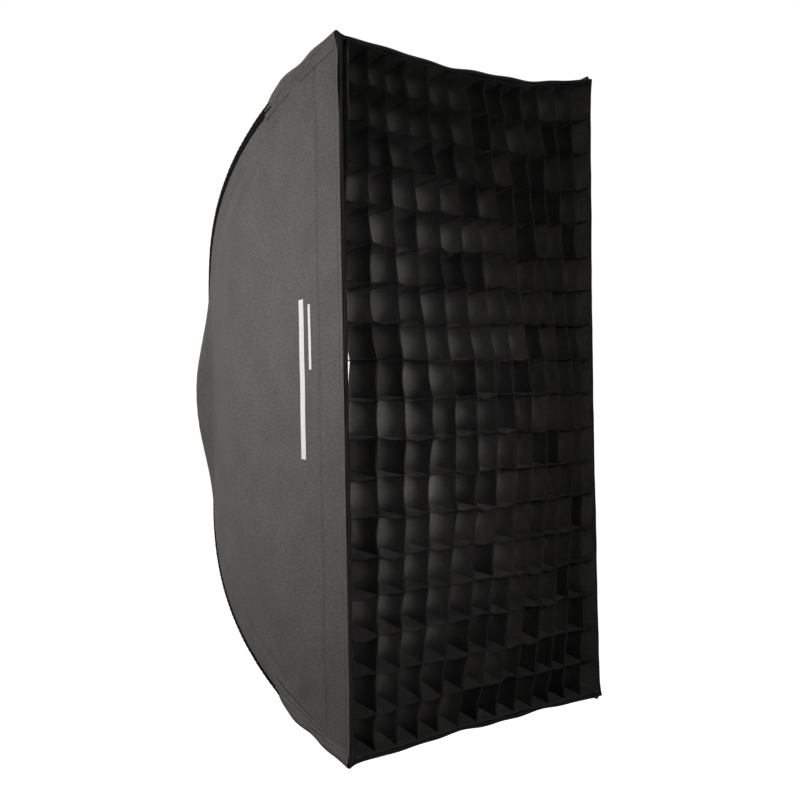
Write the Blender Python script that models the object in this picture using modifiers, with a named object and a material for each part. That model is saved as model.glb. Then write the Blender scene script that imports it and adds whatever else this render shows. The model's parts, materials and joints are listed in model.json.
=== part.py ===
"""Folding rectangular softbox with a fabric egg-crate grid.

Frame: metres, +Z up, -Y out of the front, +Y out of the back to the lamp.
The lamp axis is the Y axis. The origin is the middle of the overall box.
Depth is 0 in the plane of the front rim and grows to the rear.
A station runs along the shell from 0 at the collar to 1 at the rim.
Each rod lies in a diagonal plane, where a place is (out from the axis, depth).
"""

import math

import bmesh
import bpy
from mathutils import Matrix, Vector

# ---------------------------------------------------------------- main dimensions
FRONT_W = 0.550  # rim, left to right
FRONT_H = 0.750  # rim, bottom to top
PANEL_DEPTH = 0.338  # depth where the panels start on the collar
COLLAR_R = 0.066  # radius where the panels start
GRID_BELLY = 0.038  # how far the slack grid hangs out in front of the rim
REAR = 0.351  # depth of the bayonet's rear face
RIM_Y = -(REAR - GRID_BELLY) / 2
GAP = 0.0003  # clearance between neighbouring pieces

DIAGONAL = math.hypot(FRONT_W, FRONT_H) / 2
DIAGONAL_X = FRONT_W / 2 / DIAGONAL  # shares of the diagonal along x and z
DIAGONAL_Z = FRONT_H / 2 / DIAGONAL
CORNERS = {"tl": (-1, 1), "tr": (1, 1), "bl": (-1, -1), "br": (1, -1)}  # signs of x and z
UPRIGHT_SIDES = ("left", "right")
SIDES = UPRIGHT_SIDES + ("top", "bottom")

# ---------------------------------------------------------------- looks
FABRIC = dict(colour=(0.112, 0.103, 0.094), roughness=0.85)
BLACK_FABRIC = dict(colour=(0.018, 0.018, 0.019), roughness=0.92)
WHITE_FABRIC = dict(colour=(0.85, 0.85, 0.84), roughness=0.75)
CAST = dict(colour=(0.035, 0.035, 0.037), roughness=0.45, metallic=0.6)
STEEL = dict(colour=(0.55, 0.56, 0.57), roughness=0.28, metallic=1.0)
BRIGHT = dict(colour=(0.72, 0.72, 0.73), roughness=0.25, metallic=1.0)
SPRING_STEEL = dict(colour=(0.30, 0.30, 0.31), roughness=0.35, metallic=1.0)
RUBBER = dict(colour=(0.02, 0.02, 0.02), roughness=0.8)
PLASTIC = dict(colour=(0.03, 0.03, 0.032), roughness=0.5)
RED = dict(colour=(0.45, 0.02, 0.02), roughness=0.45)

# ---------------------------------------------------------------- scene
for old in list(bpy.data.objects):
    bpy.data.objects.remove(old, do_unlink=True)
scene = bpy.context.scene
parts = bpy.data.collections.new("folding_softbox")
cutters = bpy.data.collections.new("cutters")  # holds every boolean tool
cutters.hide_render = True
scene.collection.children.link(parts)
scene.collection.children.link(cutters)


# ---------------------------------------------------------------- helpers
def material(name, colour, roughness, metallic=0.0):
    mat = bpy.data.materials.new(name)
    mat.use_nodes = True
    bsdf = mat.node_tree.nodes["Principled BSDF"]
    bsdf.inputs["Base Color"].default_value = (*colour, 1)
    bsdf.inputs["Roughness"].default_value = roughness
    bsdf.inputs["Metallic"].default_value = metallic
    mat.diffuse_color = (*colour, 1)
    return mat


def empty(name, location=(0, 0, 0), parent=None):
    obj = bpy.data.objects.new(name, None)
    obj.empty_display_size = 0.02
    obj.location = location
    obj.parent = parent
    parts.objects.link(obj)
    return obj


def add(name, shape, look=None, collection=parts):
    """A new object from a mesh, a curve, or a bmesh in world coordinates."""
    if isinstance(shape, bmesh.types.BMesh):
        data = bpy.data.meshes.new(name)
        shape.to_mesh(data)
        shape.free()
    else:
        data = shape
    obj = bpy.data.objects.new(name, data)
    collection.objects.link(obj)
    if collection is cutters:
        obj.hide_render = True
        obj.display_type = "WIRE"
    if look:
        data.materials.append(material(name + "_material", **look))
    return obj


def smooth_shade(obj, degrees=40):
    obj.data.shade_smooth()
    obj.data.set_sharp_from_angle(angle=math.radians(degrees))
    return obj


def baked(obj):
    """The object's evaluated mesh as a new mesh, with caps welded."""
    graph = bpy.context.evaluated_depsgraph_get()
    mesh = bpy.data.meshes.new_from_object(obj.evaluated_get(graph))
    mesh.transform(obj.matrix_world)
    bm = bmesh.new()
    bm.from_mesh(mesh)
    bmesh.ops.remove_doubles(bm, verts=bm.verts, dist=1e-6)
    bmesh.ops.recalc_face_normals(bm, faces=bm.faces)
    bm.to_mesh(mesh)
    bm.free()
    mesh.materials.clear()
    return mesh


def settle(obj, look):
    """Replaces an object by its evaluated mesh, under the same name."""
    bpy.context.view_layer.update()
    name = obj.name
    mesh = baked(obj)
    bpy.data.objects.remove(obj, do_unlink=True)
    return add(name, mesh, look)


def finish(obj, look):
    return smooth_shade(settle(obj, look))


def turned(name, profile, look=None, steps=32):
    """A ring about the lamp axis: profile is a closed loop of (radius, depth)."""
    area = sum(
        radius * next_depth - next_radius * depth
        for (radius, depth), (next_radius, next_depth) in zip(profile, profile[1:] + profile[:1])
    )
    if area > 0:  # the outer side has to run from the rear to the front
        profile = profile[::-1]
    bm = bmesh.new()
    verts = [bm.verts.new((radius, 0, depth + RIM_Y)) for radius, depth in profile]
    for pair in zip(verts, verts[1:] + verts[:1]):
        bm.edges.new(pair)
    obj = add(name, bm, look)
    obj.matrix_world = Matrix.Rotation(-math.pi / 2, 4, "X")
    screw = obj.modifiers.new("turn", "SCREW")
    screw.steps = screw.render_steps = steps
    screw.use_merge_vertices = True
    screw.merge_threshold = 0.00001
    screw.use_smooth_shade = False
    return finish(obj, look)


def cylinder(name, start, end, radius, look=None, sides=12, collection=parts):
    """A straight round piece between two points."""
    start, end = Vector(start), Vector(end)
    bm = bmesh.new()
    bmesh.ops.create_cone(
        bm,
        cap_ends=True,
        segments=sides,
        radius1=radius,
        radius2=radius,
        depth=(end - start).length,
    )
    turn = (end - start).to_track_quat("Z", "Y").to_matrix().to_4x4()
    bm.transform(Matrix.Translation((start + end) / 2) @ turn)
    return smooth_shade(add(name, bm, look, collection))


def block(name, low, high, frame, look=None, collection=cutters):
    """A box between two corners given in a mirrored frame (see diagonal_matrix)."""
    bm = bmesh.new()
    bmesh.ops.create_cube(bm, size=1)
    low, high = Vector(low), Vector(high)
    size = Matrix.Diagonal((*(high - low), 1))
    bm.transform(Matrix.Translation((low + high) / 2) @ size)
    obj = add(name, bm, look, collection)
    obj.data.transform(frame)
    obj.data.flip_normals()  # the mirrored frame turned them inward
    return obj


def tube(name, points, radius, resolution, look, sharp_degrees):
    """A round wire through points, as a mesh."""
    curve = bpy.data.curves.new(name, "CURVE")
    curve.dimensions = "3D"
    curve.bevel_depth = radius
    curve.bevel_resolution = resolution
    curve.use_fill_caps = True
    spline = curve.splines.new("POLY")
    spline.points.add(len(points) - 1)
    for control, point in zip(spline.points, points):
        control.co = (*point, 1)
    return smooth_shade(settle(add(name, curve), look), sharp_degrees)


def boolean(obj, other, operation):
    mod = obj.modifiers.new(other.name, "BOOLEAN")
    mod.operation = operation
    mod.object = other
    mod.solver = "EXACT"


def thicken(obj, thickness):
    """Gives a surface its thickness, on the side away from its normals."""
    mod = obj.modifiers.new("thickness", "SOLIDIFY")
    mod.thickness = thickness
    mod.offset = -1
    mod.use_even_offset = True
    mod.use_rim = True
    return obj


def sheet(points, outward, closed=False):
    """An open surface through rows of points, with normals along outward(centre)."""
    bm = bmesh.new()
    rows = [[bm.verts.new(point) for point in row] for row in points]
    for row, next_row in zip(rows, rows[1:]):
        count = len(row)
        for i in range(count if closed else count - 1):
            j = (i + 1) % count
            bm.faces.new((row[i], row[j], next_row[j], next_row[i]))
    bmesh.ops.recalc_face_normals(bm, faces=bm.faces)
    bm.normal_update()
    agreement = sum(f.normal.dot(outward(f.calc_center_median())) for f in bm.faces)
    if agreement < 0:
        bmesh.ops.reverse_faces(bm, faces=bm.faces)
    return bm


def from_axis(point):
    """Away from the lamp axis and a little to the rear."""
    return Vector((point.x, 0.02, point.z))


def to_front(_point):
    return Vector((0, -1, 0))


def smoothstep(x):
    x = min(max(x, 0.0), 1.0)
    return x * x * (3 - 2 * x)


def direction(start, end):
    """Unit direction between two places in a diagonal plane."""
    out, depth = end[0] - start[0], end[1] - start[1]
    length = math.hypot(out, depth)
    return out / length, depth / length


def at(corner, out, depth, lateral=0.0):
    """The world point of a place in, or lateral to, a corner's diagonal plane."""
    sign_x, sign_z = CORNERS[corner]
    share_x, share_z = sign_x * DIAGONAL_X, sign_z * DIAGONAL_Z
    x = share_x * out + share_z * lateral
    z = share_z * out - share_x * lateral
    return Vector((x, depth + RIM_Y, z))


def diagonal_matrix(corner):
    """Takes (out, y, lateral) to the world. It mirrors."""
    sign_x, sign_z = CORNERS[corner]
    share_x, share_z = sign_x * DIAGONAL_X, sign_z * DIAGONAL_Z
    return Matrix(
        ((share_x, 0, share_z, 0), (0, 1, 0, 0), (share_z, 0, -share_x, 0), (0, 0, 0, 1))
    )


# ---------------------------------------------------------------- shell shape
SEAM_SLOPE = 0.42  # straight share of the seam's run in depth
SEAM_CURVE = 1 - SEAM_SLOPE  # cubic share
ROUND_END = 0.34  # station where the round collar end has turned rectangular
SIDE_BOW = 0.003  # rim bows in at the middle of the left and right sides
TOP_BOW = 0.009  # and at the middle of the top and bottom
BOW_SWELL = 0.6  # how much of the bow is kept towards the collar


def seam(station):
    """(out, depth) of the seam between two panels."""
    out = COLLAR_R + (DIAGONAL - COLLAR_R) * station
    depth = PANEL_DEPTH * (1 - SEAM_SLOPE * station - SEAM_CURVE * station**3)
    return out, depth


def seam_inward(station):
    """Unit normal of the seam, into the shell."""
    out = DIAGONAL - COLLAR_R
    depth = -PANEL_DEPTH * (SEAM_SLOPE + 3 * SEAM_CURVE * station * station)
    length = math.hypot(out, depth)
    return depth / length, -out / length


def station_at(depth):
    """The station of a given depth, by bisection."""
    low, high = 0.0, 1.0
    for _ in range(40):
        middle = (low + high) / 2
        low, high = (middle, high) if seam(middle)[1] > depth else (low, middle)
    return (low + high) / 2


def roundness(station):
    return 1 - smoothstep(station / ROUND_END)


def side_shape(side):
    """Shares of the diagonal outward and across a side, and the side's rim bow."""
    if side in UPRIGHT_SIDES:
        return DIAGONAL_X, DIAGONAL_Z, SIDE_BOW
    return DIAGONAL_Z, DIAGONAL_X, TOP_BOW


def on_side(side, outward, across):
    """(x, z) of a point measured out from the axis and across a side."""
    if side in ("left", "bottom"):
        outward = -outward
    return (outward, across) if side in UPRIGHT_SIDES else (across, outward)


def side_length(side, station):
    """Half the length of a side."""
    out = seam(station)[0]
    round_share = roundness(station)
    outward_share, across_share, _ = side_shape(side)
    half_angle = math.atan2(across_share, outward_share)
    return (1 - round_share) * out * across_share + round_share * out * half_angle


def wall(side, station, across, inset=0.0):
    """A point of the shell's outer surface. across runs from -1 to 1 over a side."""
    out, depth = seam(station)
    round_share = roundness(station)
    outward_share, across_share, rim_bow = side_shape(side)
    bow = rim_bow * station * (1 + BOW_SWELL * (1 - station)) * (1 - across * across)
    flat_outward = out * outward_share - inset - bow
    flat_across = (out * across_share - inset) * across
    angle = across * math.atan2(across_share, outward_share)
    radius = out - inset
    x, z = on_side(
        side,
        (1 - round_share) * flat_outward + round_share * radius * math.cos(angle),
        (1 - round_share) * flat_across + round_share * radius * math.sin(angle),
    )
    return Vector((x, depth + RIM_Y, z))


def around(count_upright, count_level):
    """(side, across) round the four sides, clockwise seen from the front."""
    for side, count, sign in (
        ("left", count_upright, 1),
        ("top", count_level, 1),
        ("right", count_upright, -1),
        ("bottom", count_level, -1),
    ):
        for i in range(count):
            yield side, sign * (-1 + 2 * i / count)


# ---------------------------------------------------------------- rod lines and moving frames
ROD_INSET = 0.0060  # rod centre under the seam, midway along
HINGE_INSET, HINGE_FADE = 0.0080, 0.15  # extra at the hinge, and the stations it fades over
TIP_INSET, TIP_FROM, TIP_OVER = 0.0060, 0.66, 0.22  # extra towards the tip
START_STATION, END_STATION, ROD_POINTS = 0.125, 0.925, 13
TIP_STEP = 0.02  # stations back from the tip that give its direction


def rod_line(station):
    """Centre line of a rod in its diagonal plane, under the seam."""
    out, depth = seam(station)
    inward_out, inward_depth = seam_inward(station)
    inset = (
        ROD_INSET
        + HINGE_INSET * math.exp(-station / HINGE_FADE)
        + TIP_INSET * smoothstep((station - TIP_FROM) / TIP_OVER)
    )
    return out + inward_out * inset, depth + inward_depth * inset


HINGE = rod_line(0)
HINGE_OUT, HINGE_DEPTH = HINGE
ARM_DIRECTION = direction(HINGE, rod_line(START_STATION))
TIP = rod_line(END_STATION)
TIP_DIRECTION = direction(rod_line(END_STATION - TIP_STEP), TIP)


def along_arm(distance):
    """The place at a distance from the hinge along the rod's arm."""
    return (HINGE_OUT + ARM_DIRECTION[0] * distance, HINGE_DEPTH + ARM_DIRECTION[1] * distance)


def across_hinge(name, corner, half_length, radius, look=None, collection=parts):
    """A round piece centred on a hinge axis."""
    start = at(corner, *HINGE, -half_length)
    end = at(corner, *HINGE, half_length)
    return cylinder(name, start, end, radius, look, collection=collection)


ring_axis = empty("ring_axis")
hinges = {c: empty("hinge_" + c, at(c, *HINGE), ring_axis) for c in CORNERS}


def fix_to_ring(obj):
    obj.parent = ring_axis


def hang_on(obj, parent):
    """Puts the object's origin on its parent's without moving the piece."""
    obj.data.transform(Matrix.Translation(-parent.location))
    obj.parent = parent


# ---------------------------------------------------------------- panels and seam bindings
PANEL_T = 0.0010
PANEL_COLUMNS = 6
BINDING_T = 0.0012
BINDING_HALF = 0.0030
PANEL_CUTBACK = BINDING_HALF + GAP + 0.0001  # panel edge to the seam
PANEL_STATIONS = [
    0.002, 0.05, 0.10, 0.16, 0.24, 0.34, 0.46, 0.60, 0.73, 0.83, 0.90, 0.95, 0.998,
]


def side_panel(side):
    rows = []
    for station in PANEL_STATIONS:
        reach = 1 - PANEL_CUTBACK / side_length(side, station)
        rows.append(
            [
                wall(side, station, reach * (-1 + 2 * i / PANEL_COLUMNS))
                for i in range(PANEL_COLUMNS + 1)
            ]
        )
    panel = add("side_panel_" + side, sheet(rows, from_axis), FABRIC)
    thicken(panel, PANEL_T)
    panel.data.shade_smooth()
    fix_to_ring(panel)


def seam_binding(corner):
    """A strip folded over the seam, moving with its rod."""
    sign_x, sign_z = CORNERS[corner]
    upright = "left" if sign_x < 0 else "right"
    level = "top" if sign_z > 0 else "bottom"
    rows = []
    for station in [0.0] + PANEL_STATIONS[1:-1] + [1.0]:
        upright_edge = 1 - BINDING_HALF / side_length(upright, station)
        level_edge = 1 - BINDING_HALF / side_length(level, station)
        rows.append(
            [
                wall(upright, station, sign_z * upright_edge),
                wall(upright, station, sign_z),
                wall(level, station, sign_x * level_edge),
            ]
        )
    binding = add("seam_binding_" + corner, sheet(rows, from_axis), BLACK_FABRIC)
    thicken(binding, BINDING_T)
    hang_on(settle(binding, BLACK_FABRIC), hinges[corner])


# ---------------------------------------------------------------- collar and front lip
COLLAR_PROFILE = [  # (radius, depth)
    (0.0660, 0.3386), (0.0678, 0.3398), (0.0670, 0.3412), (0.0585, 0.3414),
    (0.0585, 0.3402), (0.0640, 0.3400), (0.0652, 0.3389),
]
ELASTIC_PROFILE = [  # (radius, depth)
    (0.0584, 0.3387), (0.0594, 0.3397), (0.0604, 0.3387), (0.0594, 0.3377),
]
LIP_FRONT, LIP_REAR = 0.0022, 0.0345  # depths of the band's edges
LIP_INSET, LIP_T = 0.0022, 0.0010


def collar():
    fix_to_ring(turned("collar", COLLAR_PROFILE, FABRIC))
    fix_to_ring(turned("collar_elastic", ELASTIC_PROFILE, BLACK_FABRIC))


def front_lip_band():
    loops = []
    for depth in (LIP_FRONT, LIP_REAR):
        station = station_at(depth)
        loops.append([wall(side, station, across, LIP_INSET) for side, across in around(8, 6)])
    lip = add("front_lip_band", sheet(loops, from_axis, closed=True), BLACK_FABRIC)
    fix_to_ring(thicken(lip, LIP_T))


# ---------------------------------------------------------------- grid
CELLS_X, CELLS_Z = 13, 18
GRID_W, GRID_H, GRID_D = 0.5340, 0.7330, 0.034
STRIP_T = 0.0014
GRID_TAPER = 1.25  # share of its width and height lost per metre of depth
BORDER_T = 0.0010
BORDER_OFFSET = 0.0012 + GAP  # border surface to the grid's outline


def belly_shape(x, z):
    return (1 - (x / (FRONT_W / 2)) ** 2) * (1 - (z / (FRONT_H / 2)) ** 2)


# The strip edge nearest the axis hangs out by the full belly.
BELLY_SCALE = belly_shape(GRID_W / CELLS_X / 2 - STRIP_T / 2, 0)


def grid_point(x, z, depth):
    """Bows the flat grid's outline like the rim and lets its middle hang out."""
    u, v = x / (GRID_W / 2), z / (GRID_H / 2)
    bowed_x = x - u * SIDE_BOW * max(0.0, 1 - v * v)
    bowed_z = z - v * TOP_BOW * max(0.0, 1 - u * u)
    taper = 1 - GRID_TAPER * depth
    y = depth - GRID_BELLY * belly_shape(x, z) / BELLY_SCALE + RIM_Y
    return Vector((bowed_x * taper, y, bowed_z * taper))


def egg_crate_grid():
    bm = bmesh.new()
    bmesh.ops.create_grid(bm, x_segments=CELLS_X, y_segments=CELLS_Z, size=0.5)
    for vert in bm.verts:
        vert.co = Vector((vert.co.x * GRID_W, vert.co.y * GRID_H, 0))
    cells = bmesh.ops.inset_individual(bm, faces=bm.faces[:], thickness=STRIP_T / 2)
    strips = set(cells["faces"])
    openings = [face for face in bm.faces if face not in strips]
    bmesh.ops.delete(bm, geom=openings, context="FACES")
    extruded = bmesh.ops.extrude_face_region(bm, geom=list(bm.faces))
    rear = {item for item in extruded["geom"] if isinstance(item, bmesh.types.BMVert)}
    for vert in bm.verts:
        vert.co = grid_point(vert.co.x, vert.co.y, GRID_D if vert in rear else 0.0)
    bmesh.ops.recalc_face_normals(bm, faces=bm.faces)
    fix_to_ring(add("egg_crate_grid", bm, BLACK_FABRIC))


def grid_border():
    half_w, half_h = GRID_W / 2, GRID_H / 2
    grow_x = 1 + BORDER_OFFSET / half_w
    grow_z = 1 + BORDER_OFFSET / half_h
    loops = []
    for depth in (0.0, GRID_D):
        loop = []
        for side, across in around(9, 13):
            upright = side in UPRIGHT_SIDES
            outward, half_across = (half_w, half_h) if upright else (half_h, half_w)
            x, z = on_side(side, outward, across * half_across)
            point = grid_point(x, z, depth)
            loop.append(Vector((point.x * grow_x, point.y, point.z * grow_z)))
        loops.append(loop)
    border = add("grid_border", sheet(loops, from_axis, closed=True), BLACK_FABRIC)
    fix_to_ring(thicken(border, BORDER_T))


# ---------------------------------------------------------------- diffusers
DIFFUSER_T = 0.0008
INNER_DIFFUSER_DEPTH = 0.150
STRAP_FROM, STRAP_TO = 0.3105, 0.3480  # out from the axis
STRAP_HALF_T, STRAP_HALF_W = 0.0006, 0.006


def diffuser(name, depth, half_w, half_h, side_bow, top_bow, belly, columns, rows):
    """A white cloth across the box; belly is how far its middle stands forward."""
    points = []
    for j in range(rows + 1):
        v = -1 + 2 * j / rows
        row = []
        for i in range(columns + 1):
            u = -1 + 2 * i / columns
            x = half_w * u - u * side_bow * (1 - v * v)
            z = half_h * v - v * top_bow * (1 - u * u)
            row.append(Vector((x, depth - belly * (1 - u * u) * (1 - v * v) + RIM_Y, z)))
        points.append(row)
    cloth = add(name, sheet(points, to_front), WHITE_FABRIC)
    fix_to_ring(thicken(cloth, DIFFUSER_T))


def diffuser_strap(corner):
    """A strap from a corner of the inner diffuser towards the seam."""
    strap = block(
        "diffuser_strap_" + corner,
        (STRAP_FROM, INNER_DIFFUSER_DEPTH - STRAP_HALF_T + RIM_Y, -STRAP_HALF_W),
        (STRAP_TO, INNER_DIFFUSER_DEPTH + STRAP_HALF_T + RIM_Y, STRAP_HALF_W),
        diagonal_matrix(corner),
        BLACK_FABRIC,
        parts,
    )
    fix_to_ring(strap)


# ---------------------------------------------------------------- lamp side
ADAPTER_IN, ADAPTER_OUT = 0.0400, 0.0455
SPIGOT_R = 0.0445  # rear end of the adapter, behind the flange
FLANGE_R = 0.0535
FLANGE_FRONT, FLANGE_REAR = 0.3366, 0.3400
RETAINER_IN, RETAINER_OUT = 0.0405, 0.0482
RETAINER_FRONT, RETAINER_REAR = 0.3105, 0.3140
ADAPTER_FRONT = RETAINER_REAR + GAP
LUG_PROFILE = [  # (radius, depth)
    (0.0436, 0.3468), (0.0490, 0.3468), (0.0490, 0.3502), (0.0436, 0.3502),
]
LUG_SWEEP, LUG_STEPS, LUG_START = 44, 5, 68  # degrees, steps, degrees
WASHER_PROFILE = [  # (radius, depth)
    (0.0462, 0.3354), (0.0530, 0.3354), (0.0530, 0.3362), (0.0462, 0.3362),
]
SCREW_CIRCLE_R = (ADAPTER_IN + ADAPTER_OUT) / 2
SCREW_START = 30  # degrees
# Each row: front depth, rear depth, radius.
SCREW_HOLE = (0.309, 0.3205, 0.0013)
SCREW_HEAD = (0.3088, 0.3102, 0.0019)
SCREW_SHANK = (0.3095, 0.3200, 0.0009)


def bayonet_lug(number, turn_degrees):
    bm = bmesh.new()
    verts = [bm.verts.new((radius, depth + RIM_Y, 0)) for radius, depth in LUG_PROFILE]
    face = bm.faces.new(verts)
    bmesh.ops.spin(
        bm,
        geom=[face, *face.edges, *face.verts],
        axis=(0, 1, 0),
        cent=(0, 0, 0),
        angle=math.radians(LUG_SWEEP),
        steps=LUG_STEPS,
    )
    bm.transform(Matrix.Rotation(math.radians(turn_degrees), 4, "Y"))
    bmesh.ops.recalc_face_normals(bm, faces=bm.faces)
    return add(f"bayonet_lug_{number}", bm, collection=cutters)


def screw_piece(name, x, z, sizes, sides=12, collection=cutters):
    front, rear, radius = sizes
    start, end = (x, front + RIM_Y, z), (x, rear + RIM_Y, z)
    return cylinder(name, start, end, radius, None, sides, collection)


def lamp_mount():
    """Adapter, the ring that retains it, three screws and a washer. They stay unparented."""
    adapter = turned(
        "bayonet_adapter",
        [
            (ADAPTER_IN, ADAPTER_FRONT),
            (ADAPTER_OUT, ADAPTER_FRONT),
            (ADAPTER_OUT, FLANGE_FRONT),
            (FLANGE_R, FLANGE_FRONT),
            (FLANGE_R, FLANGE_REAR),
            (SPIGOT_R, FLANGE_REAR),
            (SPIGOT_R, REAR),
            (ADAPTER_IN, REAR),
        ],
    )
    for i in range(3):
        boolean(adapter, bayonet_lug(i + 1, 120 * i + LUG_START), "UNION")
    retainer = turned(
        "retaining_ring",
        [
            (RETAINER_IN, RETAINER_FRONT),
            (RETAINER_OUT, RETAINER_FRONT),
            (RETAINER_OUT, RETAINER_REAR),
            (RETAINER_IN, RETAINER_REAR),
        ],
    )
    for i in range(3):
        turn = math.radians(120 * i + SCREW_START)
        x, z = SCREW_CIRCLE_R * math.cos(turn), SCREW_CIRCLE_R * math.sin(turn)
        hole = screw_piece(f"screw_hole_{i + 1}", x, z, SCREW_HOLE)
        boolean(retainer, hole, "DIFFERENCE")
        boolean(adapter, hole, "DIFFERENCE")
        screw = screw_piece(f"retaining_screw_{i + 1}", x, z, SCREW_HEAD, collection=parts)
        shank = screw_piece(f"screw_shank_{i + 1}", x, z, SCREW_SHANK, sides=8)
        boolean(screw, shank, "UNION")
        finish(screw, STEEL)
    finish(adapter, BRIGHT)
    finish(retainer, CAST)
    turned("friction_washer", WASHER_PROFILE, PLASTIC)


# ---------------------------------------------------------------- speed ring
RING_IN, RING_OUT = 0.0460, 0.0560
RING_FRONT, RING_REAR = 0.3145, 0.3350
RING_CHAMFER = 0.002
FORK_R, FORK_HALF = 0.0046, 0.0064
FORK_FROM = 0.0530  # the fork block starts inside the ring's wall
SLOT_FROM, SLOT_TO = 0.0566, 0.0750  # out from the axis
SLOT_HALF, SLOT_HALF_DEPTH = 0.0034, 0.008
PIN_R, PIN_BORE = 0.0015, 0.0019
BUTTON_OUT = 0.0515  # button axis, out from the lamp axis
WELL_R, WELL_FRONT, WELL_REAR = 0.0030, 0.3100, 0.3282


def speed_ring():
    """The ring with a hinge fork and a button well at each corner."""
    ring = turned(
        "speed_ring",
        [
            (RING_IN, RING_FRONT),
            (RING_OUT, RING_FRONT),
            (RING_OUT, RING_REAR - RING_CHAMFER),
            (RING_OUT - RING_CHAMFER, RING_REAR),
            (RING_IN, RING_REAR),
        ],
        steps=40,
    )
    for corner in CORNERS:
        boss = block(
            "fork_block_" + corner,
            (FORK_FROM, HINGE_DEPTH - FORK_R + RIM_Y, -FORK_HALF),
            (HINGE_OUT, HINGE_DEPTH + FORK_R + RIM_Y, FORK_HALF),
            diagonal_matrix(corner),
        )
        boolean(ring, boss, "UNION")
        eye = across_hinge("fork_eye_" + corner, corner, FORK_HALF, FORK_R, collection=cutters)
        boolean(ring, eye, "UNION")
    for corner in CORNERS:
        slot = block(
            "fork_slot_" + corner,
            (SLOT_FROM, HINGE_DEPTH - SLOT_HALF_DEPTH + RIM_Y, -SLOT_HALF),
            (SLOT_TO, HINGE_DEPTH + SLOT_HALF_DEPTH + RIM_Y, SLOT_HALF),
            diagonal_matrix(corner),
        )
        bore = across_hinge("pin_bore_" + corner, corner, 0.010, PIN_BORE, collection=cutters)
        well = cylinder(
            "button_well_" + corner,
            at(corner, BUTTON_OUT, WELL_FRONT),
            at(corner, BUTTON_OUT, WELL_REAR),
            WELL_R,
            collection=cutters,
        )
        for tool in (slot, bore, well):
            boolean(ring, tool, "DIFFERENCE")
    fix_to_ring(finish(ring, CAST))


# ---------------------------------------------------------------- rods
# Distances "from", "to" and "at" run along the arm from the hinge.
ROD_R, ROD_FROM = 0.0022, 0.0125
BARREL_R, BARREL_HALF = 0.0042, 0.0030
NECK_LENGTH, NECK_HALF_T, NECK_HALF_W = 0.0085, 0.0032, 0.0029
SOCKET_R, SOCKET_FROM, SOCKET_TO = 0.0046, 0.0065, 0.042
BORE_R, BORE_FROM, BORE_TO = 0.0027, 0.0120, 0.0500
CLAMP_AT = 0.026
CLAMP_R, CLAMP_LATERAL = 0.0010, (0.0026, 0.0052)
CLAMP_HOLE_R, CLAMP_HOLE_LATERAL = 0.0014, (0.0015, 0.0080)
# The cups over the rod tip: the mouth lies "overlap" back from the tip.
CAP = dict(overlap=0.010, outer=0.0035, inner=0.0027, length=0.0125, floor=0.0020)
POCKET = dict(overlap=0.018, outer=0.0050, inner=0.0039, length=0.0225, floor=0.0014)
CUP_SIDES = 10


def rod(corner):
    places = [along_arm(ROD_FROM), along_arm(SOCKET_TO)]
    for i in range(1, ROD_POINTS):
        share = (END_STATION - START_STATION) * i / (ROD_POINTS - 1)
        places.append(rod_line(START_STATION + share))
    points = [at(corner, *place) for place in places]
    hang_on(tube("rod_" + corner, points, ROD_R, 2, SPRING_STEEL, 60), hinges[corner])


def rod_arm(corner):
    """The barrel on the hinge pin, with a neck and a socket for the rod."""
    arm = across_hinge("rod_arm_" + corner, corner, BARREL_HALF, BARREL_R)
    tilt = Matrix.Rotation(math.atan2(ARM_DIRECTION[1], ARM_DIRECTION[0]), 4, "Z")
    hinge_place = Matrix.Translation((HINGE_OUT, HINGE_DEPTH + RIM_Y, 0))
    neck = block(
        "arm_neck_" + corner,
        (0, -NECK_HALF_T, -NECK_HALF_W),
        (NECK_LENGTH, NECK_HALF_T, NECK_HALF_W),
        diagonal_matrix(corner) @ hinge_place @ tilt,
    )
    socket = cylinder(
        "arm_socket_" + corner,
        at(corner, *along_arm(SOCKET_FROM)),
        at(corner, *along_arm(SOCKET_TO)),
        SOCKET_R,
        collection=cutters,
    )
    bore = cylinder(
        "arm_bore_" + corner,
        at(corner, *along_arm(BORE_FROM)),
        at(corner, *along_arm(BORE_TO)),
        BORE_R,
        collection=cutters,
    )
    pin_bore = across_hinge("arm_pin_bore_" + corner, corner, 0.008, PIN_BORE, collection=cutters)
    screw_hole = cylinder(
        "arm_screw_hole_" + corner,
        *(at(corner, *along_arm(CLAMP_AT), lateral) for lateral in CLAMP_HOLE_LATERAL),
        CLAMP_HOLE_R,
        collection=cutters,
    )
    for tool in (neck, socket):
        boolean(arm, tool, "UNION")
    for tool in (bore, pin_bore, screw_hole):
        boolean(arm, tool, "DIFFERENCE")
    hang_on(finish(arm, CAST), hinges[corner])


def rod_clamp_screw(corner):
    screw = cylinder(
        "rod_clamp_screw_" + corner,
        *(at(corner, *along_arm(CLAMP_AT), lateral) for lateral in CLAMP_LATERAL),
        CLAMP_R,
        STEEL,
        sides=8,
    )
    hang_on(screw, hinges[corner])


def tip_cup(name, look, corner, overlap, outer, inner, length, floor):
    """A round cup over the rod's tip, open where the rod goes in."""
    out = TIP[0] - TIP_DIRECTION[0] * overlap
    depth = TIP[1] - TIP_DIRECTION[1] * overlap
    mouth = at(corner, out, depth)
    along = at(corner, out + TIP_DIRECTION[0], depth + TIP_DIRECTION[1]) - mouth
    body = cylinder(name, mouth, mouth + along * length, outer, None, CUP_SIDES)
    hollow = cylinder(
        name + "_hollow",
        mouth - along * 0.002,  # starts clear of the mouth
        mouth + along * (length - floor),
        inner,
        None,
        CUP_SIDES,
        cutters,
    )
    boolean(body, hollow, "DIFFERENCE")
    hang_on(finish(body, look), hinges[corner])


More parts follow.
